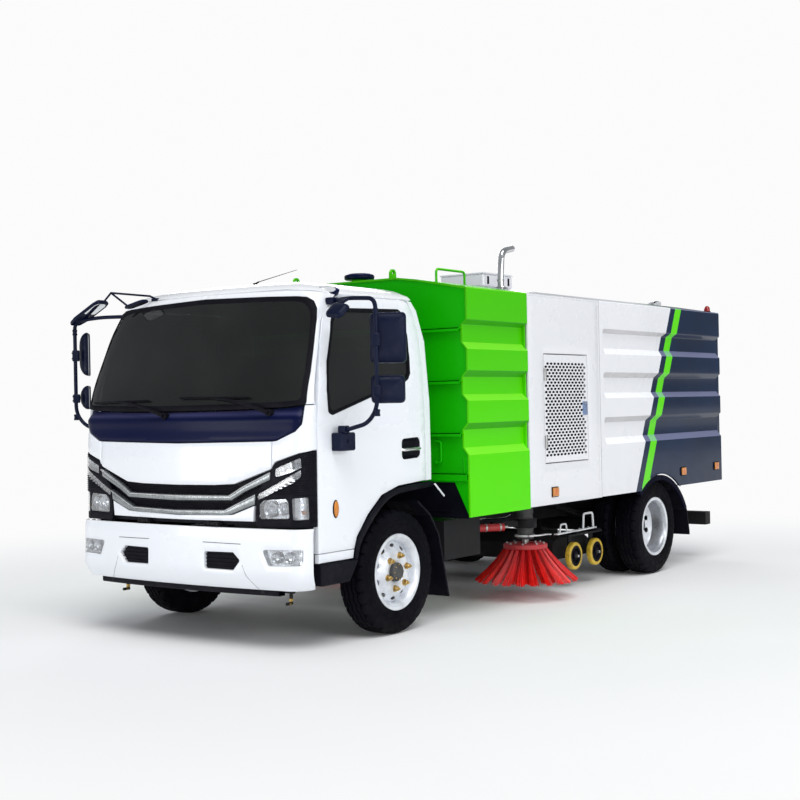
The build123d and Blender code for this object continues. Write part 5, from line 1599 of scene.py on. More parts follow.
def side_points(low, depth=.038, r=.012):
    """Right-hand half outline (x, z) from the roof centre down to low, corners rounded."""
    pts = [(0, 2.245), (.560, 2.245), (.730, 2.222), (HW, 2.149)]
    rad = [0, .05, .05, .016]
    for za, zb, zc, zd in GROOVE:
        pts += [(HW, za), (HW - depth, zb), (HW - depth, zc), (HW, zd)]
        rad += [r] * 4
    pts += [(HW, low)]
    rad += [0]
    out = [pts[0]]
    for i in range(1, len(pts) - 1):
        p0, p1, p2 = Vector(pts[i - 1]), Vector(pts[i]), Vector(pts[i + 1])
        a, c = p0 - p1, p2 - p1
        ang = a.angle(c)
        if rad[i] <= 0 or ang > 3.12:
            for j in range(5):
                out.append(tuple(p1))
            continue
        t = min(rad[i] / math.tan(ang / 2), a.length * .45, c.length * .45)
        q0, q1 = p1 + a.normalized() * t, p1 + c.normalized() * t
        for j in range(5):
            s = j / 4
            out.append(tuple(q0 * (1 - s) ** 2 + p1 * 2 * s * (1 - s) + q1 * s * s))
    out.append(pts[-1])
    return out


def shell(b, stations, low, m=0, t=.012, front=None, rear=None, mf=0, sides=(1, -1), lows=None):
    """Sheet-metal skin of roof and sides. stations: (y, groove depth); front/rear are not used."""
    for side in sides:
        rings, inner = [], []
        for k, (y, dep) in enumerate(stations):
            lo = lows[k] if lows else low
            pts = side_points(lo, dep)
            rings.append([(side * x, FA + y, z) for x, z in pts])
            inner.append([(side * max(0, x - (t if z < 2.20 else 0)), FA + y, z - (t if z > 2.14 else 0)) for x, z in pts])
        if side < 0:
            rings, inner = rings, inner
        b.rings(rings, m, False)
        b.rings([r[::-1] for r in inner], m, False)
        for k in (0, -1):
            b.rings([rings[k], inner[k]] if k else [inner[k], rings[k]], m, False)
        lo_edge = [[r[-1] for r in rings], [r[-1] for r in inner]]
        b.rings(lo_edge, m, False)


def end_wall(b, y, low, t, m, depth=.038, direction=1, floor=None):
    """Flat end wall filling the body outline at a station; t thick towards direction."""
    half = side_points(low, depth)
    half = [(x * .9985, z - .0006) for x, z in half]
    pts = half + [(-x, z) for x, z in reversed(half[1:])]
    # drop repeated points
    clean = []
    for p in pts:
        if not clean or math.hypot(p[0] - clean[-1][0], p[1] - clean[-1][1]) > 1e-5:
            clean.append(p)
    b.prism(clean, "Y", y, y + t * direction, m)


# ---- tank
b = B()
shell(b, [(.562, .038), (.566, .038), (.94, .038), (1.312, .038), (1.316, .038)], .672, 0, .012)
# floor and lower front edge
b.box(-1.106, 1.106, .572, 1.312, .896, .912, 0)
b.box(-1.106, 1.106, 1.300, 1.312, .912, 2.10, 0)
b.done("tank_skin", GREEN, "chassis", rep=("water_tank",), sharp=28)
# front wall in the green with painted shade
b = B()
wall = side_points(.900, .038)
wall = [(x - .010 if x > .01 else x, z - .006) for x, z in wall]
wall = [p for i, p in enumerate(wall) if i == 0 or math.hypot(p[0] - wall[i - 1][0], p[1] - wall[i - 1][1]) > 1e-5]
b.prism(wall + [(-x, z) for x, z in reversed(wall[1:])], "Y", .570, .582, 0)
# stiffening angles across the wall, a deep channel along its foot
for z in (1.887, 1.548, 1.210):
    b.box(-1.068, 1.068, .540, .572, z - .004, z + .004, 0, .001)
    b.box(-1.068, 1.068, .540, .545, z - .020, z + .004, 0, .001)
b.box(-1.104, 1.104, .548, .572, .945, .954, 0, .001)
b.box(-1.104, 1.104, .548, .553, .905, .954, 0, .001)
b.box(-1.104, 1.104, .553, .572, .900, .908, 0, .001)
for side in (1, -1):
    b.prism([(side * 1.000, .900), (side * 1.112, .900), (side * 1.112, .676)], "Y", .564, .570, 0)
    b.box(side * .20, side * .206, .552, .572, .96, 2.20, 0, .001)
    # pressed flange along the wall's side edge
    b.box(side * 1.076, side * 1.0815, .560, .572, .93, 1.06, 0, .001)
    b.box(side * .340, side * .405, .572, 1.316, .650, .900, 0, .004)
b.done("tank_front_wall", SHADED_WALL_GREEN, "chassis", sharp=28)
b = B()
# level gauge tube frame on the wall, hydrant stub on the right side
path = [(.860, .556, 1.020), (.905, .556, 1.020), (.905, .556, 1.160), (.860, .556, 1.160)]
b.tube(bent(path, .03, 6), .007, 0, 10)
b.cyl((.860, .562, 1.020), .012, .014, "Y", 0, 16)
b.cyl((.860, .562, 1.160), .012, .014, "Y", 0, 16)
b.done("level_gauge", SHADED_WALL_GREEN, "chassis")
b = B()
c = (-1.150, 1.100, .760)
b.lathe([(.030, .033), (-.020, .033), (-.0205, .0315), (-.0295, .0315), (-.030, .0295), (-.030, .024), (.020, .022)], c, "X", 0, 48, False, True)
b.lathe([(.029, .046), (.024, .050), (.022, .050), (.020, .046), (.020, .033)], c, "X", 1, 48)
for k in range(6):
    a = 2 * math.pi * k / 6
    b.lathe([(.021, .0042), (.017, .0042), (.016, .003)], (c[0], c[1] + .0415 * math.cos(a), c[2] + .0415 * math.sin(a)), "X", 0, 6, False, True)
b.done("hydrant_stub_skin", [BRASS, GREEN], "chassis")

# black splash panel under the tank's front wall
b = B()
for side in (1, -1):
    b.prism([(side * .350, .664), (side * 1.100, .664), (side * 1.102, .684), (side * .996, .8955), (side * .350, .8955)], "Y", .5715, .5770, 0)
    b.box(side * .42, side * .98, .566, .5715, .700, .712, 0, .001)
    b.tube([(side * .950, .412, .893), (side * .950, .514, .811)], .0065, 1, 10)
b.done("splash_panel", [BLACK, WHITE], "chassis")

# ---- roof fittings
b = B()
b.lathe([(2.240, .060), (2.250, .056), (2.288, .056)], (0, .900, 0), "Z", 0, 48)
b.lathe([(2.286, .050), (2.288, .098), (2.292, .104), (2.300, .107), (2.312, .1075), (2.322, .102), (2.330, .085), (2.3335, .050), (2.334, .010)], (0, .900, 0), "Z", 1, 64, True, True)
b.lathe([(2.243, .085), (2.250, .085), (2.251, .056)], (0, .900, 0), "Z", 0, 48)
for side in (1, -1):
    # lifting eyes cut from plate
    eye = rounded([(.680, 2.236), (.684, 2.300), (.700, 2.320), (.730, 2.320), (.746, 2.300), (.750, 2.236)], [0, .02, .012, .012, .02, 0], 4)
    hole = [(.715 + .013 * math.cos(t * math.pi / 10), 2.294 + .013 * math.sin(t * math.pi / 10)) for t in range(20)]

    def lift(u, v, d=0.0, s=side):
        return (s * .436 - s * d, FA + u, v)
    panel(b, eye, lift, holes=[hole], t=.016, lip=.0015, step=.02, m=0)
    b.box(side * .408, side * .448, .672, .758, 2.238, 2.248, 0, .002)
    # grab rail bent from round bar
    b.tube(bent([(side * .790, .709, 2.200), (side * .790, .709, 2.297), (side * .790, 1.049, 2.297), (side * .790, 1.049, 2.200)], .028, 6), .0085, 0, 12)
    for y in (.709, 1.049):
        b.lathe([(2.201, .017), (2.209, .017), (2.212, .010)], (side * .790, y, 0), "Z", 0, 20, True, False)
b.done("roof_fittings_skin", [GREEN, NAVY], "chassis", rep=("roof_fittings",))
b = B()
b.box(.240, .620, 1.560, 1.960, 2.243, 2.336, 0, .010)
b.box(.236, .624, 1.556, 1.964, 2.334, 2.345, 0, .004)
for y in (1.62, 1.90):
    b.box(.6195, .6225, y - .012, y + .012, 2.262, 2.318, 1, .001)
b.done("intake_box", [BODYWHITE, BLACK], "chassis")

# ---- engine bay
b = B()
shell(b, [(1.3165, 0.0), (1.320, 0.0), (1.324, 0.0)], .680, 0, .010)
shell(b, [(2.332, 0.0), (2.352, 0.0), (2.356, 0.0)], .680, 0, .010)


def bay_sheet(b, side, m=0):
    """Side wall with the door opening and the roof edge above it."""
    def lift(y, z, d=0.0):
        return (side * (HW - d), FA + y, z)
    door_hole = [(1.528, .966), (1.528, 1.740), (2.166, 1.740), (2.166, .966)]
    panel(b, [(1.322, .680), (1.322, 2.1330), (2.334, 2.1330), (2.334, .680)], lift, holes=[rounded(door_hole, .010, 3)], t=.010, lip=.0015, step=.06, m=m)


def roof_sheet(b, y0, y1, m=0, t=.010):
    for side in (1, -1):
        pts = [p for p in side_points(.9, 0.0) if p[1] > 2.1325]
        rings = []
        for y in (y0, (y0 * 2 + y1) / 3, (y0 + y1 * 2) / 3, y1):
            rings.append([(side * x, FA + y, z) for x, z in pts] + [(side * (x - t if x > t else x), FA + y, z - t) for x, z in pts[::-1]])
        b.rings(rings, m, True, True, True)


for side in (1, -1):
    bay_sheet(b, side)
roof_sheet(b, 1.322, 2.334)
b.box(-1.108, 1.108, 1.324, 2.350, .835, .862, 0)
end_wall(b, 1.330, .862, .012, 0, depth=0.0)
end_wall(b, 2.330, .862, .012, 0, depth=0.0)
for side in (1, -1):
    b.box(side * .340, side * .405, 1.324, 2.348, .650, .835, 0, .004)
    # door frame inside the opening
    for y0, y1, z0, z1 in ((1.500, 1.530, .945, 1.765), (2.164, 2.194, .945, 1.765), (1.530, 2.164, 1.738, 1.765), (1.530, 2.164, .945, .968)):
        b.box(side * 1.075, side * 1.1105, y0, y1, z0, z1, 0, .002)
b.box(.764, .836, 1.464, 1.536, 2.170, 2.218, 1, .004)
b.done("engine_bay_skin", [BODYWHITE, STEEL], "chassis", rep=("engine_bay",), sharp=28)

# ---- perforated doors with lift-up lock
for side, word in ((1, "left"), (-1, "right")):
    b = B()

    def lift(y, z, d=0.0, s=side):
        e = min(y - 1.535, 2.158 - y, z - .974, 1.732 - z)
        press = 0.0
        if e > .008:
            press = .004 * min(1.0, (e - .008) / .010)
        return (s * (HW - .0005 - press * 0 - d), FA + y, z)
    holes = []
    rows, per = 30, 12
    for i in range(rows):
        z = 1.026 + (1.668 - 1.026) * i / (rows - 1)
        off = .5 if i % 2 else 0.0
        cnt = per - (1 if i % 2 else 0)
        for j in range(cnt):
            y = 1.560 + (2.118 - 1.560) * (j + off) / (per - 1)
            if y > 2.070 and 1.290 < z < 1.405:
                continue
            holes.append([(y + .0200 * math.cos(t * math.pi / 5), z + .0092 * math.sin(t * math.pi / 5)) for t in range(10)])
    # dense perforated sheet, triangulated from its outline and holes alone to keep it light
    outline = rounded([(1.535, .974), (1.535, 1.732), (2.158, 1.732), (2.158, .974)], .008, 3)
    pts, edges = [], []
    loops = [inset(resample(ccw(outline), .05), .0015)] + holes
    for loop in loops:
        n0 = len(pts)
        pts += [Vector(p) for p in loop]
        edges += [(n0 + i, n0 + (i + 1) % len(loop)) for i in range(len(loop))]
    v2, _, f2, *_ = delaunay_2d_cdt(pts, edges, [], 1, 1e-7)
    cents = {}
    for h in holes:
        hc = (sum(p[0] for p in h) / len(h), sum(p[1] for p in h) / len(h))
        cents.setdefault(round(hc[1], 4), []).append(hc[0])
    zs = sorted(cents)
    faces = []
    for f in f2:
        c = (sum(v2[i][0] for i in f) / len(f), sum(v2[i][1] for i in f) / len(f))
        hit = False
        for z in zs:
            if abs(z - c[1]) < .0105:
                for y in cents[z]:
                    if abs(y - c[0]) < .0210 and ((y - c[0]) / .0192) ** 2 + ((z - c[1]) / .0088) ** 2 < 1:
                        hit = True
        if not hit and inside(c, outline):
            faces.append(tuple(f))
    b.add([lift(p[0], p[1], 0) for p in v2], faces, 0)
    b.add([lift(p[0], p[1], .0025) for p in v2], [f[::-1] for f in faces], 0)
    for h in holes:
        b.rings([[lift(p[0], p[1], 0) for p in h], [lift(p[0], p[1], .0025) for p in h]], 0)
    o = resample(ccw(outline), .05)
    oi = inset(o, .0015)
    b.rings([[lift(p[0], p[1], 0) for p in oi][::-1], [lift(p[0], p[1], .0015) for p in o][::-1], [lift(p[0], p[1], .022) for p in o][::-1], [lift(p[0], p[1], .022) for p in inset(o, .020)][::-1]], 0)
    # stiffeners behind the sheet
    for y in (1.700, 1.990):
        b.box(side * 1.096, side * 1.104, y - .010, y + .010, .99, 1.715, 3, .002)
    # hinge knuckles
    for z in (1.120, 1.590):
        b.lathe([(-.045, .0068), (-.0155, .0070), (-.0150, .0062), (-.0145, .0070), (.0145, .0070), (.0150, .0062), (.0155, .0070), (.045, .0068)], (side * 1.126, 1.533, z), "Z", 2, 20, True, True)
        b.box(side * 1.1195, side * 1.1215, 1.536, 1.566, z - .04, z + .04, 2, .0005)
    # lock: cup, paddle and key barrel
    b.box(side * 1.1185, side * 1.1255, 2.082, 2.150, 1.300, 1.398, 1, .003)
    b.box(side * 1.1245, side * 1.1295, 2.090, 2.142, 1.308, 1.372, 1, .002)
    b.box(side * 1.128, side * 1.1315, 2.094, 2.138, 1.312, 1.350, 1, .0015)
    b.cyl((side * 1.1265, 2.116, 1.384), .0075, .009, "X", 2, 20)
    b.done("perforated_door_" + word, [BODYWHITE, LOCKBLUE, STEEL, BLACK], "bay_door_" + word, rep=("bay_door_" + word,), sharp=30)
# black sheet behind the perforations: painted shade of the bay's dark interior
b = B()
for side in (1, -1):
    b.box(side * 1.066, side * 1.070, 1.505, 2.190, .945, 1.765, 0, .001)
b.done("bay_lining", BLACK, "chassis")

# ---- hopper
LINING = metal("hopper_lining", (.30, .31, .32), .46, .12, amount=.75)
HOP_Y = [2.364, 2.368, 2.400, 2.424, 2.440, 2.460, 2.480, 2.55, 2.78, 3.0, 3.25, 3.5, 3.75, 4.0, 4.25, 4.5, 4.604, 4.612]
b = B()


def hop_depth(y):
    t = max(0.0, min(1.0, (y - 2.415) / .050))
    return .038 * t * t * (3 - 2 * t)


def arch_low(y):
    d = .600 ** 2 - (y - 3.370) ** 2
    return max(.684, .200 + math.sqrt(d)) if d > 0 else .684


ys = sorted(set(HOP_Y + [3.370 + .6 * math.cos(math.radians(a)) for a in range(38, 143, 4)] + [3.370 - .3555, 3.370 + .3555] + [2.41 + i * .0055 for i in range(12)]))
shell(b, [(y, hop_depth(y)) for y in ys], .684, 0, .012, lows=[arch_low(y) for y in ys])
# floor, front wall, inner liner
b.box(-1.106, 1.106, 2.368, 4.600, .835, .847, 0)
b.box(-1.038, 1.038, 2.380, 4.598, .8475, .852, 4)
front = side_points(.835, 0.0)
front = [(x - .006 if x > .01 else x, z - .006) for x, z in front]
front = [p for i, p in enumerate(front) if i == 0 or math.hypot(p[0] - front[i - 1][0], p[1] - front[i - 1][1]) > 1e-5]
b.prism(front + [(-x, z) for x, z in reversed(front[1:])], "Y", 2.368, 2.378, 0)
for side in (1, -1):
    b.box(side * 1.040, side * 1.048, 2.372, 4.606, .850, 2.125, 4, .001)
    b.box(side * .345, side * .375, 2.384, 4.455, .662, .835, 1, .004)
    for x in (.476, .540):
        b.prism(rounded([(4.522, 2.241), (4.522, 2.262), (4.600, 2.284), (4.655, 2.286), (4.661, 2.270), (4.661, 2.250), (4.610, 2.241)], .008, 3), "X", side * x, side * (x + .012), 3, .001)
    b.lathe([(-.033, .0075), (-.032, .010), (.030, .010), (.032, .0075)], (side * .514, 4.645, 2.268), "X", 2, 24, True, True)
    b.lathe([(-.015, .016), (-.015, .033), (-.014, .034), (.014, .034), (.015, .033), (.015, .016), (-.015, .016)], (side * .360, 4.400, .660), "X", 1, 40)
    # flange round the wheel arch
    rim = []
    for k in range(25):
        a = math.radians(52.5 + k * 75 / 24)
        rim.append((a,))
    rings = []
    for (a,) in rim:
        cs, sn = math.cos(a), math.sin(a)
        rings.append([(side * xx, FA + 3.370 + rr * cs, .200 + rr * sn) for xx, rr in ((1.1185, .5995), (1.1225, .6005), (1.1235, .606), (1.1225, .6115), (1.1185, .6125))])
    b.rings(rings, 0, True, True, True)
# lower edge fold
for side in (1, -1):
    for y0, y1 in ((2.37, 3.012), (3.728, 4.606)):
        b.box(side * 1.085, side * 1.108, y0, y1, .685, .690, 0, .001)
b.done("hopper_skin", [HOPPERPAINT, SATIN, STEEL, BODYWHITE, LINING], "hopper", rep=("hopper",), sharp=28)

# ---- tailgate
b = B()
edge = [(0, 2.2335), (.545, 2.2275), (.726, 2.204), (1.078, 2.134), (1.078, .730)]
gate = edge + [(-x, z) for x, z in reversed(edge[1:])]
b.prism(rounded([p for p in gate], [0, .04, .04, .03, .02, .02, .03, .04, .04], 4), "Y", 4.622, 4.662, 0, .004)
for x in (-1.030, -.380, .380, 1.030):
    b.box(x - .042, x + .042, 4.655, 4.703, .740, 2.100, 0, .008)
for z in (.760, 1.240, 1.680, 2.080):
    b.box(-1.071, 1.071, 4.655, 4.701, z - .030, z + .030, 0, .008)
for side in (1, -1):
    b.box(side * .496, side * .532, 4.632, 4.661, 2.180, 2.262, 2, .004)
    b.lathe([(-.0185, .0105), (-.0185, .0225), (-.017, .024), (.017, .024), (.0185, .0225), (.0185, .0105), (-.0185, .0105)], (side * .514, 4.645, 2.268), "X", 1, 32)
    # lock hooks at the foot
    b.prism(rounded([(4.640, .735), (4.640, .80), (4.690, .80), (4.700, .76), (4.690, .735)], .008, 3), "X", side * .80, side * .84, 1, .002)
b.done("tailgate_skin", [GATEPAINT, SATIN, BODYWHITE], "tailgate", rep=("tailgate",), sharp=28)

# ---- dark lip closing the gap between the rear mudguards and the hopper's arches
b = B()
for side in (1, -1):
    rings = []
    for k in range(49):
        a = math.radians(30 + 97 * k / 48)
        cs, sn = math.cos(a), math.sin(a)
        rings.append([(side * x, FA + 3.370 + r * cs, .200 + r * sn) for x, r in ((1.0780, .566), (1.0780, .5905), (1.1075, .5915), (1.1110, .5885), (1.1110, .552), (1.1075, .549), (1.1055, .552), (1.1055, .566))])
    b.rings(rings, 0, True, True, True)
b.done("rear_arch_lips", plastic("arch_lip_dark", (.006, .006, .016), .78, spec=.04), "chassis", sharp=40)

# ---- side markers and beacon
def marker(name, body, y, z, side):
    b = B()
    x = HW + .001
    b.box(side * (x - .003), side * (x + .006), y - .046, y + .046, z - .036, z + .036, 1, .003)
    for k in range(3):
        y0 = y - .040 + k * .0275
        b.box(side * (x + .004), side * (x + .0135), y0, y0 + .0255, z - .030, z + .030, 0, .003)
    b.box(side * (x + .006), side * (x + .0155), y - .010, y + .010, z - .018, z + .018, 2, .002)
    b.done(name, [AMBER, BLACK, AMBERDARK], body)


for side, word in ((1, "left"), (-1, "right")):
    marker("side_marker_front_" + word, "chassis", 1.649, .766, side)
    marker("side_marker_mid_" + word, "hopper", 3.800, .800, side)
    marker("side_marker_rear_" + word, "hopper", 4.483, .812, side)
    b = B()
    b.lathe([(2.150, .030), (2.158, .032), (2.162, .030), (2.163, .024)], (side * 1.060, 4.500, 0), "Z", 1, 32, True, False)
    b.lathe([(2.160, .026), (2.172, .027), (2.190, .025), (2.203, .018), (2.209, .008), (2.210, .002)], (side * 1.060, 4.500, 0), "Z", 0, 32, False, True)
    b.done("beacon_" + word, [REDLENS, BLACK], "hopper")

# ---- exhaust
b = B()
path = bent([(.800, 1.500, 2.214), (.800, 1.500, 2.300), (.800, 1.521, 2.476), (.800, 1.668, 2.506)], .060, 10)
b.tube(path, .0225, 0, 28)
P0, P1 = Vector(path[-2]), Vector(path[-1])
d = (P1 - P0).normalized()
b.tube([tuple(P1), tuple(P1 - d * .002), tuple(P1 - d * .03)], .019, 1, 24, radii=[.0215, .0195, .0190])
b.lathe([(2.216, .036), (2.222, .036), (2.223, .0235)], (.800, 1.500, 0), "Z", 0, 32)
b.lathe([(2.262, .0238), (2.263, .0262), (2.275, .0262), (2.276, .0238)], (.800, 1.500, 0), "Z", 2, 32)
b.done("exhaust_skin", [CHROME, BLACK, STEEL], "chassis", rep=("exhaust_stack",))
# ---------------------------------------------------------------- cab interior: padded seats, arch liners
FABRIC = Mat("seat_fabric", (.045, .048, .055), .85, Specular_IOR_Level=.2, Sheen_Weight=.25)
_weave = FABRIC.node("ShaderNodeTexWave", bands_direction="X")
_weave.inputs["Scale"].default_value = 160
_weave.inputs["Distortion"].default_value = 1.2
FABRIC.link(FABRIC.pos, _weave.inputs[0])
_weave2 = FABRIC.node("ShaderNodeTexWave", bands_direction="Y")
_weave2.inputs["Scale"].default_value = 160
_weave2.inputs["Distortion"].default_value = 1.2
FABRIC.link(FABRIC.pos, _weave2.inputs[0])
_w = FABRIC.math("MULTIPLY", _weave.outputs[1], _weave2.outputs[1])
FABRIC.color(FABRIC.mix(_w, FABRIC.mix(FABRIC.ramp(FABRIC.noise(9, 4), 0, 1, .3, .7), (.034, .037, .044, 1), (.052, .055, .064, 1)), (.085, .090, .105, 1)))
FABRIC.rough(FABRIC.ramp(FABRIC.noise(40, 3), .78, .94, .3, .7))
FABRIC.bump(_w, .35, .0008)
PIPING = plastic("seat_piping", (.012, .012, .016), .6, 300, .2, spec=.2)


def pad(name, corners, thick, cap, channels=(), voxel=.010):
    """Padded cushion between a lower and an upper quad of corners, blown up as cloth, then sewn."""
    lo, hi = corners
    lo, hi = [Vector(V(*p)) for p in lo], [Vector(V(*p)) for p in hi]
    mid = sum(lo + hi, Vector()) / 8
    n = 14
    b = B()

    def point(u, v, w):
        a = lo[0].lerp(lo[1], u).lerp(lo[3].lerp(lo[2], u), v)
        c = hi[0].lerp(hi[1], u).lerp(hi[3].lerp(hi[2], u), v)
        return a.lerp(c, w)
    # rounded box: points of a cube surface pushed onto a rounded form
    r = .028
    size = ((hi[1] - hi[0]).length, (hi[3] - hi[0]).length, (hi[0] - lo[0]).length)
    verts, faces, key = [], [], {}

    def vid(i, j, k):
        if (i, j, k) not in key:
            key[(i, j, k)] = len(verts)
            p = [i / n, j / n, k / n]
            d = []
            for a in range(3):
                s = p[a] * size[a]
                core = min(max(s, r), size[a] - r)
                d.append((s, core))
            off = Vector([s - c for s, c in d])
            if off.length > 1e-9:
                off = off.normalized() * r
            q = [(d[a][1] + off[a]) / size[a] for a in range(3)]
            verts.append(tuple(point(*q)))
        return key[(i, j, k)]
    for a in range(3):
        for s in (0, n):
            for i in range(n):
                for j in range(n):
                    q = []
                    for di, dj in ((0, 0), (1, 0), (1, 1), (0, 1)):
                        c = [0, 0, 0]
                        c[a] = s
                        c[(a + 1) % 3] = i + di
                        c[(a + 2) % 3] = j + dj
                        q.append(vid(*c))
                    faces.append(q if s else q[::-1])
    b.add(verts, faces, 0)
    o = b.done(name, FABRIC, "cab")
    deps = bpy.context.evaluated_depsgraph_get
    rm = o.modifiers.new("remesh", "REMESH")
    rm.mode = "VOXEL"
    rm.voxel_size = voxel
    rm.use_smooth_shade = True
    me = bpy.data.meshes.new_from_object(o.evaluated_get(deps()))
    o.modifiers.clear()
    o.data = me
    start = [v.co.copy() for v in me.vertices]
    cl = o.modifiers.new("cloth", "CLOTH")
    st = cl.settings
    st.quality = 4
    st.mass = .3
    st.tension_stiffness = st.compression_stiffness = 12
    st.shear_stiffness = 6
    st.bending_stiffness = .5
    st.use_pressure = True
    st.uniform_pressure_force = 4
    st.effector_weights.gravity = 0
    cl.collision_settings.use_collision = False
    cl.point_cache.frame_start, cl.point_cache.frame_end = 1, 20
    for f in range(1, 21):
        scene.frame_set(f)
    blown = bpy.data.meshes.new_from_object(o.evaluated_get(deps()))
    o.modifiers.clear()
    for v, s in zip(blown.vertices, start):
        d = v.co - s
        v.co = s + d * min(1.0, cap / max(d.length, 1e-9))
    o.data = blown
    scene.frame_set(1)
    me = o.data
    # sewn channels pull the top face in; the underside stays flat where it rests
    up = (hi[0] - lo[0]).normalized()
    base = lo[0].dot(up)
    top = hi[0].dot(up)
    for v in me.vertices:
        h = v.co.dot(up)
        if h < base:
            v.co += up * (base - h) * .85
        for c0, c1 in channels:
            a, c = Vector(V(*c0)), Vector(V(*c1))
            ab = c - a
            t = max(0, min(1, (v.co - a).dot(ab) / ab.dot(ab)))
            q = a + ab * t
            e = v.co - q
            e -= up * e.dot(up)
            if h > (base + top) / 2:
                v.co -= up * .011 * math.exp(-(e.length / .011) ** 2)
    me.materials.clear()
    me.materials.append(FABRIC.m)
    me.polygons.foreach_set("use_smooth", [True] * len(me.polygons))
    me.update()
    sm = o.modifiers.new("subsurf", "SUBSURF")
    sm.levels = sm.render_levels = 1
    return o


def quad(x0, x1, ya, yb, z):
    return [(x0, ya, z), (x1, ya, z), (x1, yb, z), (x0, yb, z)]


for word, x0, x1 in (("driver", .190, .680), ("passenger", -.780, .060)):
    cx = (x0 + x1) / 2
    m = .020
    lo, hi = quad(x0 + m, x1 - m, -.310, .165, 1.004), quad(x0 + m, x1 - m, -.306, .160, 1.096)
    ch = [((x0 + .085, -.29, 1.1), (x0 + .085, .14, 1.1)), ((x1 - .085, -.29, 1.1), (x1 - .085, .14, 1.1)), ((x0 + .085, -.10, 1.1), (x1 - .085, -.10, 1.1)), ((x0 + .085, .05, 1.1), (x1 - .085, .05, 1.1))]
    pad("seat_cushion_" + word, (lo, hi), .1, .022, ch)
    # the back leans; its own lower face is the rear one
    def lean(x, z, d):
        t = (z - 1.120) / .660
        yf, yr = .120 + .130 * t, .200 + .115 * t
        return (x, yf + (yr - yf) * d, z)
    b0, b1 = x0 + .010 + m, x1 - .010 - m
    rear = [lean(b0, 1.142, .80), lean(b0, 1.765, .80), lean(b1, 1.765, .80), lean(b1, 1.142, .80)]
    front = [lean(b0, 1.142, .20), lean(b0, 1.765, .20), lean(b1, 1.765, .20), lean(b1, 1.142, .20)]
    ch = [(lean(x0 + .095, 1.20, .2), lean(x0 + .095, 1.70, .2)), (lean(x1 - .095, 1.20, .2), lean(x1 - .095, 1.70, .2)), (lean(x0 + .095, 1.36, .2), lean(x1 - .095, 1.36, .2)), (lean(x0 + .095, 1.56, .2), lean(x1 - .095, 1.56, .2))]
    pad("seat_back_" + word, (rear, front), .1, .014, ch)
b = B()
for x0, x1 in ((.190, .680), (-.780, .060)):
    b.box(x0 + .006, x1 - .006, -.326, .186, .986, 1.004, 0, .006)
    b.box(x0 + .060, x1 - .060, -.260, .150, .956, .986, 0, .004)
    # runners and the adjusting bar
    for x in (x0 + .09, x1 - .09):
        b.box(x - .014, x + .014, -.255, .145, .957, .985, 0, .003)
    b.prism(rounded([(.150, 1.006), (.196, 1.006), (.232, 1.180), (.212, 1.180)], .006, 3), "X", x0 + .010, x0 + .018, 0, .001)
    b.prism(rounded([(.150, 1.006), (.196, 1.006), (.232, 1.180), (.212, 1.180)], .006, 3), "X", x1 - .018, x1 - .010, 0, .001)
b.done("seat_frames", PIPING, "cab", rep=("seats",))

for side, word in ((1, "left"), (-1, "right")):
    b = B()
    path = smooth_path([(.392, .925), (.055, .903), (-.114, .851), (-.260, .741), (-.380, .616)], 6)
    outer, inner = [], []
    for k, (y, z) in enumerate(path):
        d = Vector((y, z - .378)).normalized()
        outer.append((y + d.x * .004, z + d.y * .004))
        inner.append((y, z))
    for loop0, loop1 in ((outer, inner),):
        rings = [[(side * x, FA + p[0], p[1]) for p in loop] for x, loop in ((.470, outer), (.884, outer))]
        b.rings(rings, 0, False)
        rings = [[(side * x, FA + p[0], p[1]) for p in loop] for x, loop in ((.884, inner), (.470, inner))]
        b.rings(rings, 0, False)
        for x in (.470, .884):
            b.rings([[(side * x, FA + p[0], p[1]) for p in outer], [(side * x, FA + p[0], p[1]) for p in inner]], 0, False)
        for k in (0, -1):
            b.add([(side * .470, FA + outer[k][0], outer[k][1]), (side * .884, FA + outer[k][0], outer[k][1]), (side * .884, FA + inner[k][0], inner[k][1]), (side * .470, FA + inner[k][0], inner[k][1])], [(0, 1, 2, 3)], 0)
    for k in range(4):
        x = .53 + k * .09
        rings = []
        for (y, z) in path[1:-1]:
            d = Vector((y, z - .378)).normalized()
            rings.append([(side * (x + dx), FA + y - d.x * h, z - d.y * h) for dx, h in ((-.012, -.001), (-.007, .006), (.007, .006), (.012, -.001))])
        b.rings(rings, 0, True, True, True)
    b.done("arch_liner_" + word, BLACK, "cab")
# ---------------------------------------------------------------- underbody details
def strut(b, p0, p1, w, h, m=0, ch=.002, roll=None):
    """Rectangular bar between two points given as (x, station, z)."""
    P0, P1 = Vector(V(*p0)), Vector(V(*p1))
    d = (P1 - P0).normalized()
    ref = Vector(roll) if roll else Vector((0, 0, 1))
    s = d.cross(ref).normalized()
    u = s.cross(d)
    sec = rounded([(-w / 2, -h / 2), (w / 2, -h / 2), (w / 2, h / 2), (-w / 2, h / 2)], min(w, h) * .2, 2)
    rings = []
    for p, k in ((P0, .9), (P0 + d * ch, 1), (P1 - d * ch, 1), (P1, .9)):
        rings.append([tuple(p + s * (a * k) + u * (c * k)) for a, c in sec])
    b.rings(rings, m, True, True, True)


def bolt(b, c, axis, r, h, m, out=1):
    b.lathe([(0, r * 1.25), (out * h * .2, r * 1.25), (out * h * .22, r), (out * h * .85, r), (out * h, r * .8)], c, axis, m, 6, False, True)


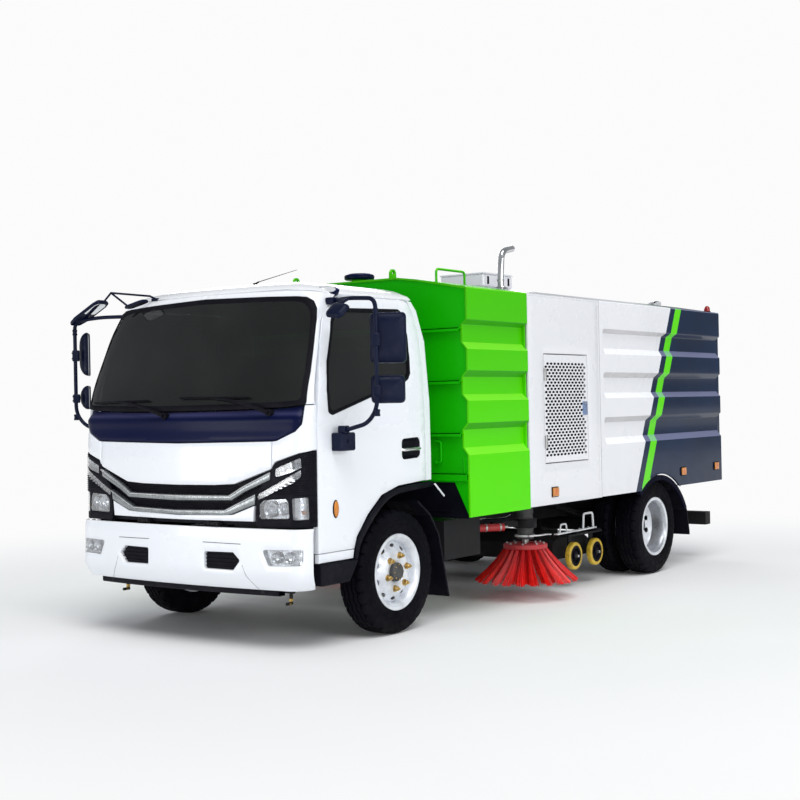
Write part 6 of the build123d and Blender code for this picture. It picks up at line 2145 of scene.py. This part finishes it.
BODYTUBE = paint("tube_white", (.80, .82, .84), rough=.4, coat=.1, dust=.1)
for side, word in ((1, "left"), (-1, "right")):
    # carried by the swinging arm: red accumulator with steel bands, pressure lines, clamps and stiffeners
    b = B()
    a, c = Vector((.500, 1.250)), Vector((.836, 1.668))
    d = (c - a).normalized()
    nrm = Vector((d.y, -d.x))
    def on_arm(t, off):
        q = a + d * t + nrm * off
        return (side * q.x, q.y)
    p0, p1 = on_arm(.095, .062), on_arm(.375, .062)
    b.tube([(*p0, .518), (*p1, .518)], .0270, 0, 28)
    for t in (.130, .235, .340):
        q = on_arm(t, .062)
        q1 = on_arm(t + .012, .062)
        b.tube([(*q, .518), (*q1, .518)], .0290, 2, 24)
    e0, e1 = on_arm(.078, .062), on_arm(.095, .062)
    b.tube([(*e0, .518), (*e1, .518)], .0150, 2, 16)
    e0, e1 = on_arm(.375, .062), on_arm(.405, .062)
    b.tube([(*e0, .518), (*e1, .518)], .0110, 2, 16)
    for t, off in ((.18, .035), (.30, .035)):
        q = on_arm(t, off)
        b.box(q[0] - .012, q[0] + .012, q[1] - .012, q[1] + .012, .500, .556, 1, .002)
    # pressure lines with unions along the arm
    for k, off in enumerate((.016, .000, -.016)):
        pts = [(*on_arm(.06, off), .575), (*on_arm(.12, off), .573 + .003 * k), (*on_arm(.30, off), .572), (*on_arm(.40, off * 1.4), .578), (*on_arm(.45, off * 2.0), .596)]
        b.tube(smooth_path(pts, 5), .0062, 1 if k != 1 else 2, 10)
        q = on_arm(.20 + .02 * k, off)
        q1 = on_arm(.225 + .02 * k, off)
        b.tube([(*q, .5725), (*q1, .5725)], .0095, 2, 6)
    for t in (.10, .26, .40):
        q0, q1 = on_arm(t, -.026), on_arm(t, .026)
        strut(b, (*q0, .5585), (*q1, .5585), .012, .006, 2, .001)
    # welded stiffeners on the arm's plate
    for off in (-.030, .030):
        q0, q1 = on_arm(.07, off), on_arm(.43, off)
        strut(b, (*q0, .5640), (*q1, .5640), .006, .018, 1, .001)
    b.done("brush_arm_details_" + word, [PLATE_RED, BLACK, STEEL], "brush_arm_" + word)
    # carried by the motor: white curved guard over the brush, port unions
    b = B()
    guard = smooth_path([(side * .905, 1.640, .448), (side * .938, 1.700, .447), (side * .935, 1.790, .444), (side * .905, 1.880, .438), (side * .880, 1.985, .428)], 6)
    rings = []
    for k, (x, y, z) in enumerate(guard):
        q = Vector(guard[min(k + 1, len(guard) - 1)]) - Vector(guard[max(k - 1, 0)])
        q.normalize()
        s = Vector((q.y, -q.x, 0)).normalized()
        rings.append([(x + s.x * u, FA + y + s.y * u, z + w) for u, w in ((-.013, -.004), (.013, -.004), (.014, 0), (.013, .004), (-.013, .004), (-.014, 0))])
    b.rings(rings, 0, True, True, True)
    b.lathe([(.437, .062), (.438, .074), (.444, .075), (.450, .074), (.451, .062)], (side * .840, 1.700, 0), "Z", 0, 40, False, False)
    strut(b, (side * .895, 1.655, .444), (side * .925, 1.672, .444), .030, .010, 0)
    for dx in (.030, -.030):
        b.tube([(side * (.840 + dx), 1.700, .646), (side * (.840 + dx), 1.700, .662)], .0125, 1, 6)
        b.tube([(side * (.840 + dx), 1.700, .660), (side * (.840 + dx), 1.700, .674)], .0085, 2, 12)
    b.done("brush_guard_" + word, [BODYTUBE, STEEL, BLACK], "brush_head_" + word)
    # carried by the suction nozzle: white rail over the casters with a bent grab tube
    b = B()
    strut(b, (side * .888, 2.060, .420), (side * .888, 2.670, .424), .034, .010, 0)
    b.tube(bent([(side * .888, 2.480, .424), (side * .888, 2.490, .540), (side * .888, 2.630, .540), (side * .888, 2.642, .424)], .022, 6), .0085, 0, 12)
    b.tube(bent([(side * .888, 2.120, .424), (side * .888, 2.135, .486), (side * .888, 2.215, .486), (side * .888, 2.228, .424)], .018, 6), .0065, 0, 10)
    for y in (2.325, 2.660):
        # fork plates and axle bolt of the caster
        for dx in (-.034,):
            b.prism(rounded([(y - .026, .212), (y + .026, .212), (y + .034, .300), (y + .030, .418), (y - .030, .418), (y - .034, .300)], [.02, .02, .01, .004, .004, .01], 4), "X", side * (.888 + dx - .003), side * (.888 + dx + .003), 1, .001)
        b.lathe([(-.044, .010), (-.043, .0115), (.043, .0115), (.044, .010)], (side * .888, y, .236), "X", 2, 6, True, True)
        b.box(side * .848, side * .928, y - .034, y + .034, .408, .417, 1, .002)
    for y in (2.10, 2.42, 2.56):
        bolt(b, (side * .888, y, .429), "Z", .007, .009, 2)
    b.done("nozzle_rail_" + word, [BODYTUBE, BLACK, STEEL], "nozzle")
    # brass jets under the bumper with their hose
    b = B()
    x = side * .687
    b.lathe([(.255, .0085), (.256, .0100), (.268, .0100), (.270, .0125), (.286, .0125), (.288, .0095), (.300, .0095)], (x, -.700, 0), "Z", 0, 6, True, True)
    b.lathe([(-.740, .0035), (-.739, .0060), (-.730, .0075), (-.722, .0092), (-.706, .0092), (-.700, .0060)], (x, 0, .258), "Y", 0, 20, True, True)
    b.tube(smooth_path([(x, -.700, .300), (x, -.700, .318), (x - side * .02, -.700, .330)], 4), .0065, 1, 10)
    b.done("spray_jets_" + word, [BRASS, BLACK], "chassis")

# cable loom clipped along the outer face of the rails
b = B()
for side in (1, -1):
    pts = [(side * .4115, 1.42 + .085 * k, .598 + .006 * math.sin(k * 1.7)) for k in range(10)]
    b.tube(smooth_path(pts, 3), .0055, 0, 8)
    for k in range(1, 9, 2):
        y = 1.42 + .085 * k
        b.box(side * .4052, side * .4185, y - .007, y + .007, .588, .612, 1, .001)
b.done("rail_loom", [BLACK, STEEL], "chassis")

# ---------------------------------------------------------------- carried-over nodes get their materials
def dress(node, mt, bevel=.003):
    o = frame["nodes"][node] if isinstance(frame["nodes"], dict) else bpy.data.objects[node]
    while len(o.data.materials) > 1:
        o.data.materials.pop()
    if len(o.data.materials) == 0:
        o.data.materials.append(mt.m)
    for s in o.material_slots:
        s.material = mt.m
    if bevel:
        w = o.modifiers.new("weld", "WELD")
        w.merge_threshold = .00002
        bv = o.modifiers.new("bevel", "BEVEL")
        bv.width = bevel
        bv.segments = 2
        bv.limit_method = "ANGLE"
        bv.angle_limit = math.radians(35)
        bv.harden_normals = True


replaced = set()
for o in bpy.data.objects:
    for n in o.get("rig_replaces", []):
        replaced.add(n)
DRESS = {"frame_rails": SATIN, "crossmembers": SATIN, "front_axle": SATIN, "rear_axle": SATIN, "leaf_springs": SATIN, "main_engine": IRON, "spray_bar": SATIN,
         "water_tank": GREEN, "engine_bay": BODYWHITE, "auxiliary_engine": IRON, "roof_fittings": GREEN, "exhaust_stack": CHROME, "mudguards": BLACK,
         "fuel_tank_battery_box": SATIN, "underrun_bar": SATIN, "tail_lamps": REDLENS, "suction_duct": STEEL, "cab_rear_panel": WHITE, "cab_floor": SATIN, "dashboard": GREY, "seats": GREY,
         "hopper": NAVY, "tailgate": NAVY, "suction_nozzle": SATIN, "cab_front_panel": WHITE, "windscreen_frame": WHITE, "cab_roof": WHITE, "cab_steps": BLACK, "cab_glass": GLASS,
         "headlamps": BLACK, "front_bumper": WHITE}
for n in list(frame["nodes"]):
    if n in replaced:
        continue
    mt = DRESS.get(n)
    if mt is None:
        mt = {"door": WHITE, "mirror": MIRROR_BLACK, "knuckle": SATIN, "front_tyre": BLACK, "rear_tyres": BLACK, "front_rim": RIM, "rear_rims": RIM, "brush_arm": SATIN, "brush_motor": IRON,
              "side_brush": RED, "caster_front": GOLD, "caster_rear": GOLD, "bay_door": BODYWHITE, "door_glass": GLASS}[n.rsplit("_", 1)[0]]
    dress(n, mt)

# ---------------------------------------------------------------- floor
floor_mat = Mat("floor", (.86, .86, .86), .9, Specular_IOR_Level=.1)
floor_mat.color(floor_mat.mix(floor_mat.ramp(floor_mat.noise(.6, 4), 0, 1, .3, .7), (.935, .935, .935, 1), (.92, .92, .92, 1)))
# far from the truck the floor passes into the white backdrop
fx, fy, fz = floor_mat.xyz()
far = floor_mat.math("SQRT", floor_mat.math("ADD", floor_mat.math("MULTIPLY", fx, fx), floor_mat.math("MULTIPLY", fy, fy)))
glow = floor_mat.node("ShaderNodeEmission")
glow.inputs[0].default_value = (1, 1, 1, 1)
glow.inputs[1].default_value = .97
blend = floor_mat.node("ShaderNodeMixShader")
floor_mat.link(floor_mat.ramp(far, 0, 1, 3.2, 7.5), blend.inputs[0])
floor_mat.link(floor_mat.b.outputs[0], blend.inputs[1])
floor_mat.link(glow.outputs[0], blend.inputs[2])
floor_mat.link(blend.outputs[0], floor_mat.out.inputs[0])
me = bpy.data.meshes.new("floor")
me.from_pydata([(-60, -60, -.001), (60, -60, -.001), (60, 60, -.001), (-60, 60, -.001)], [], [(0, 1, 2, 3)])
me.materials.append(floor_mat.m)
floor = bpy.data.objects.new("floor", me)
scene.collection.objects.link(floor)
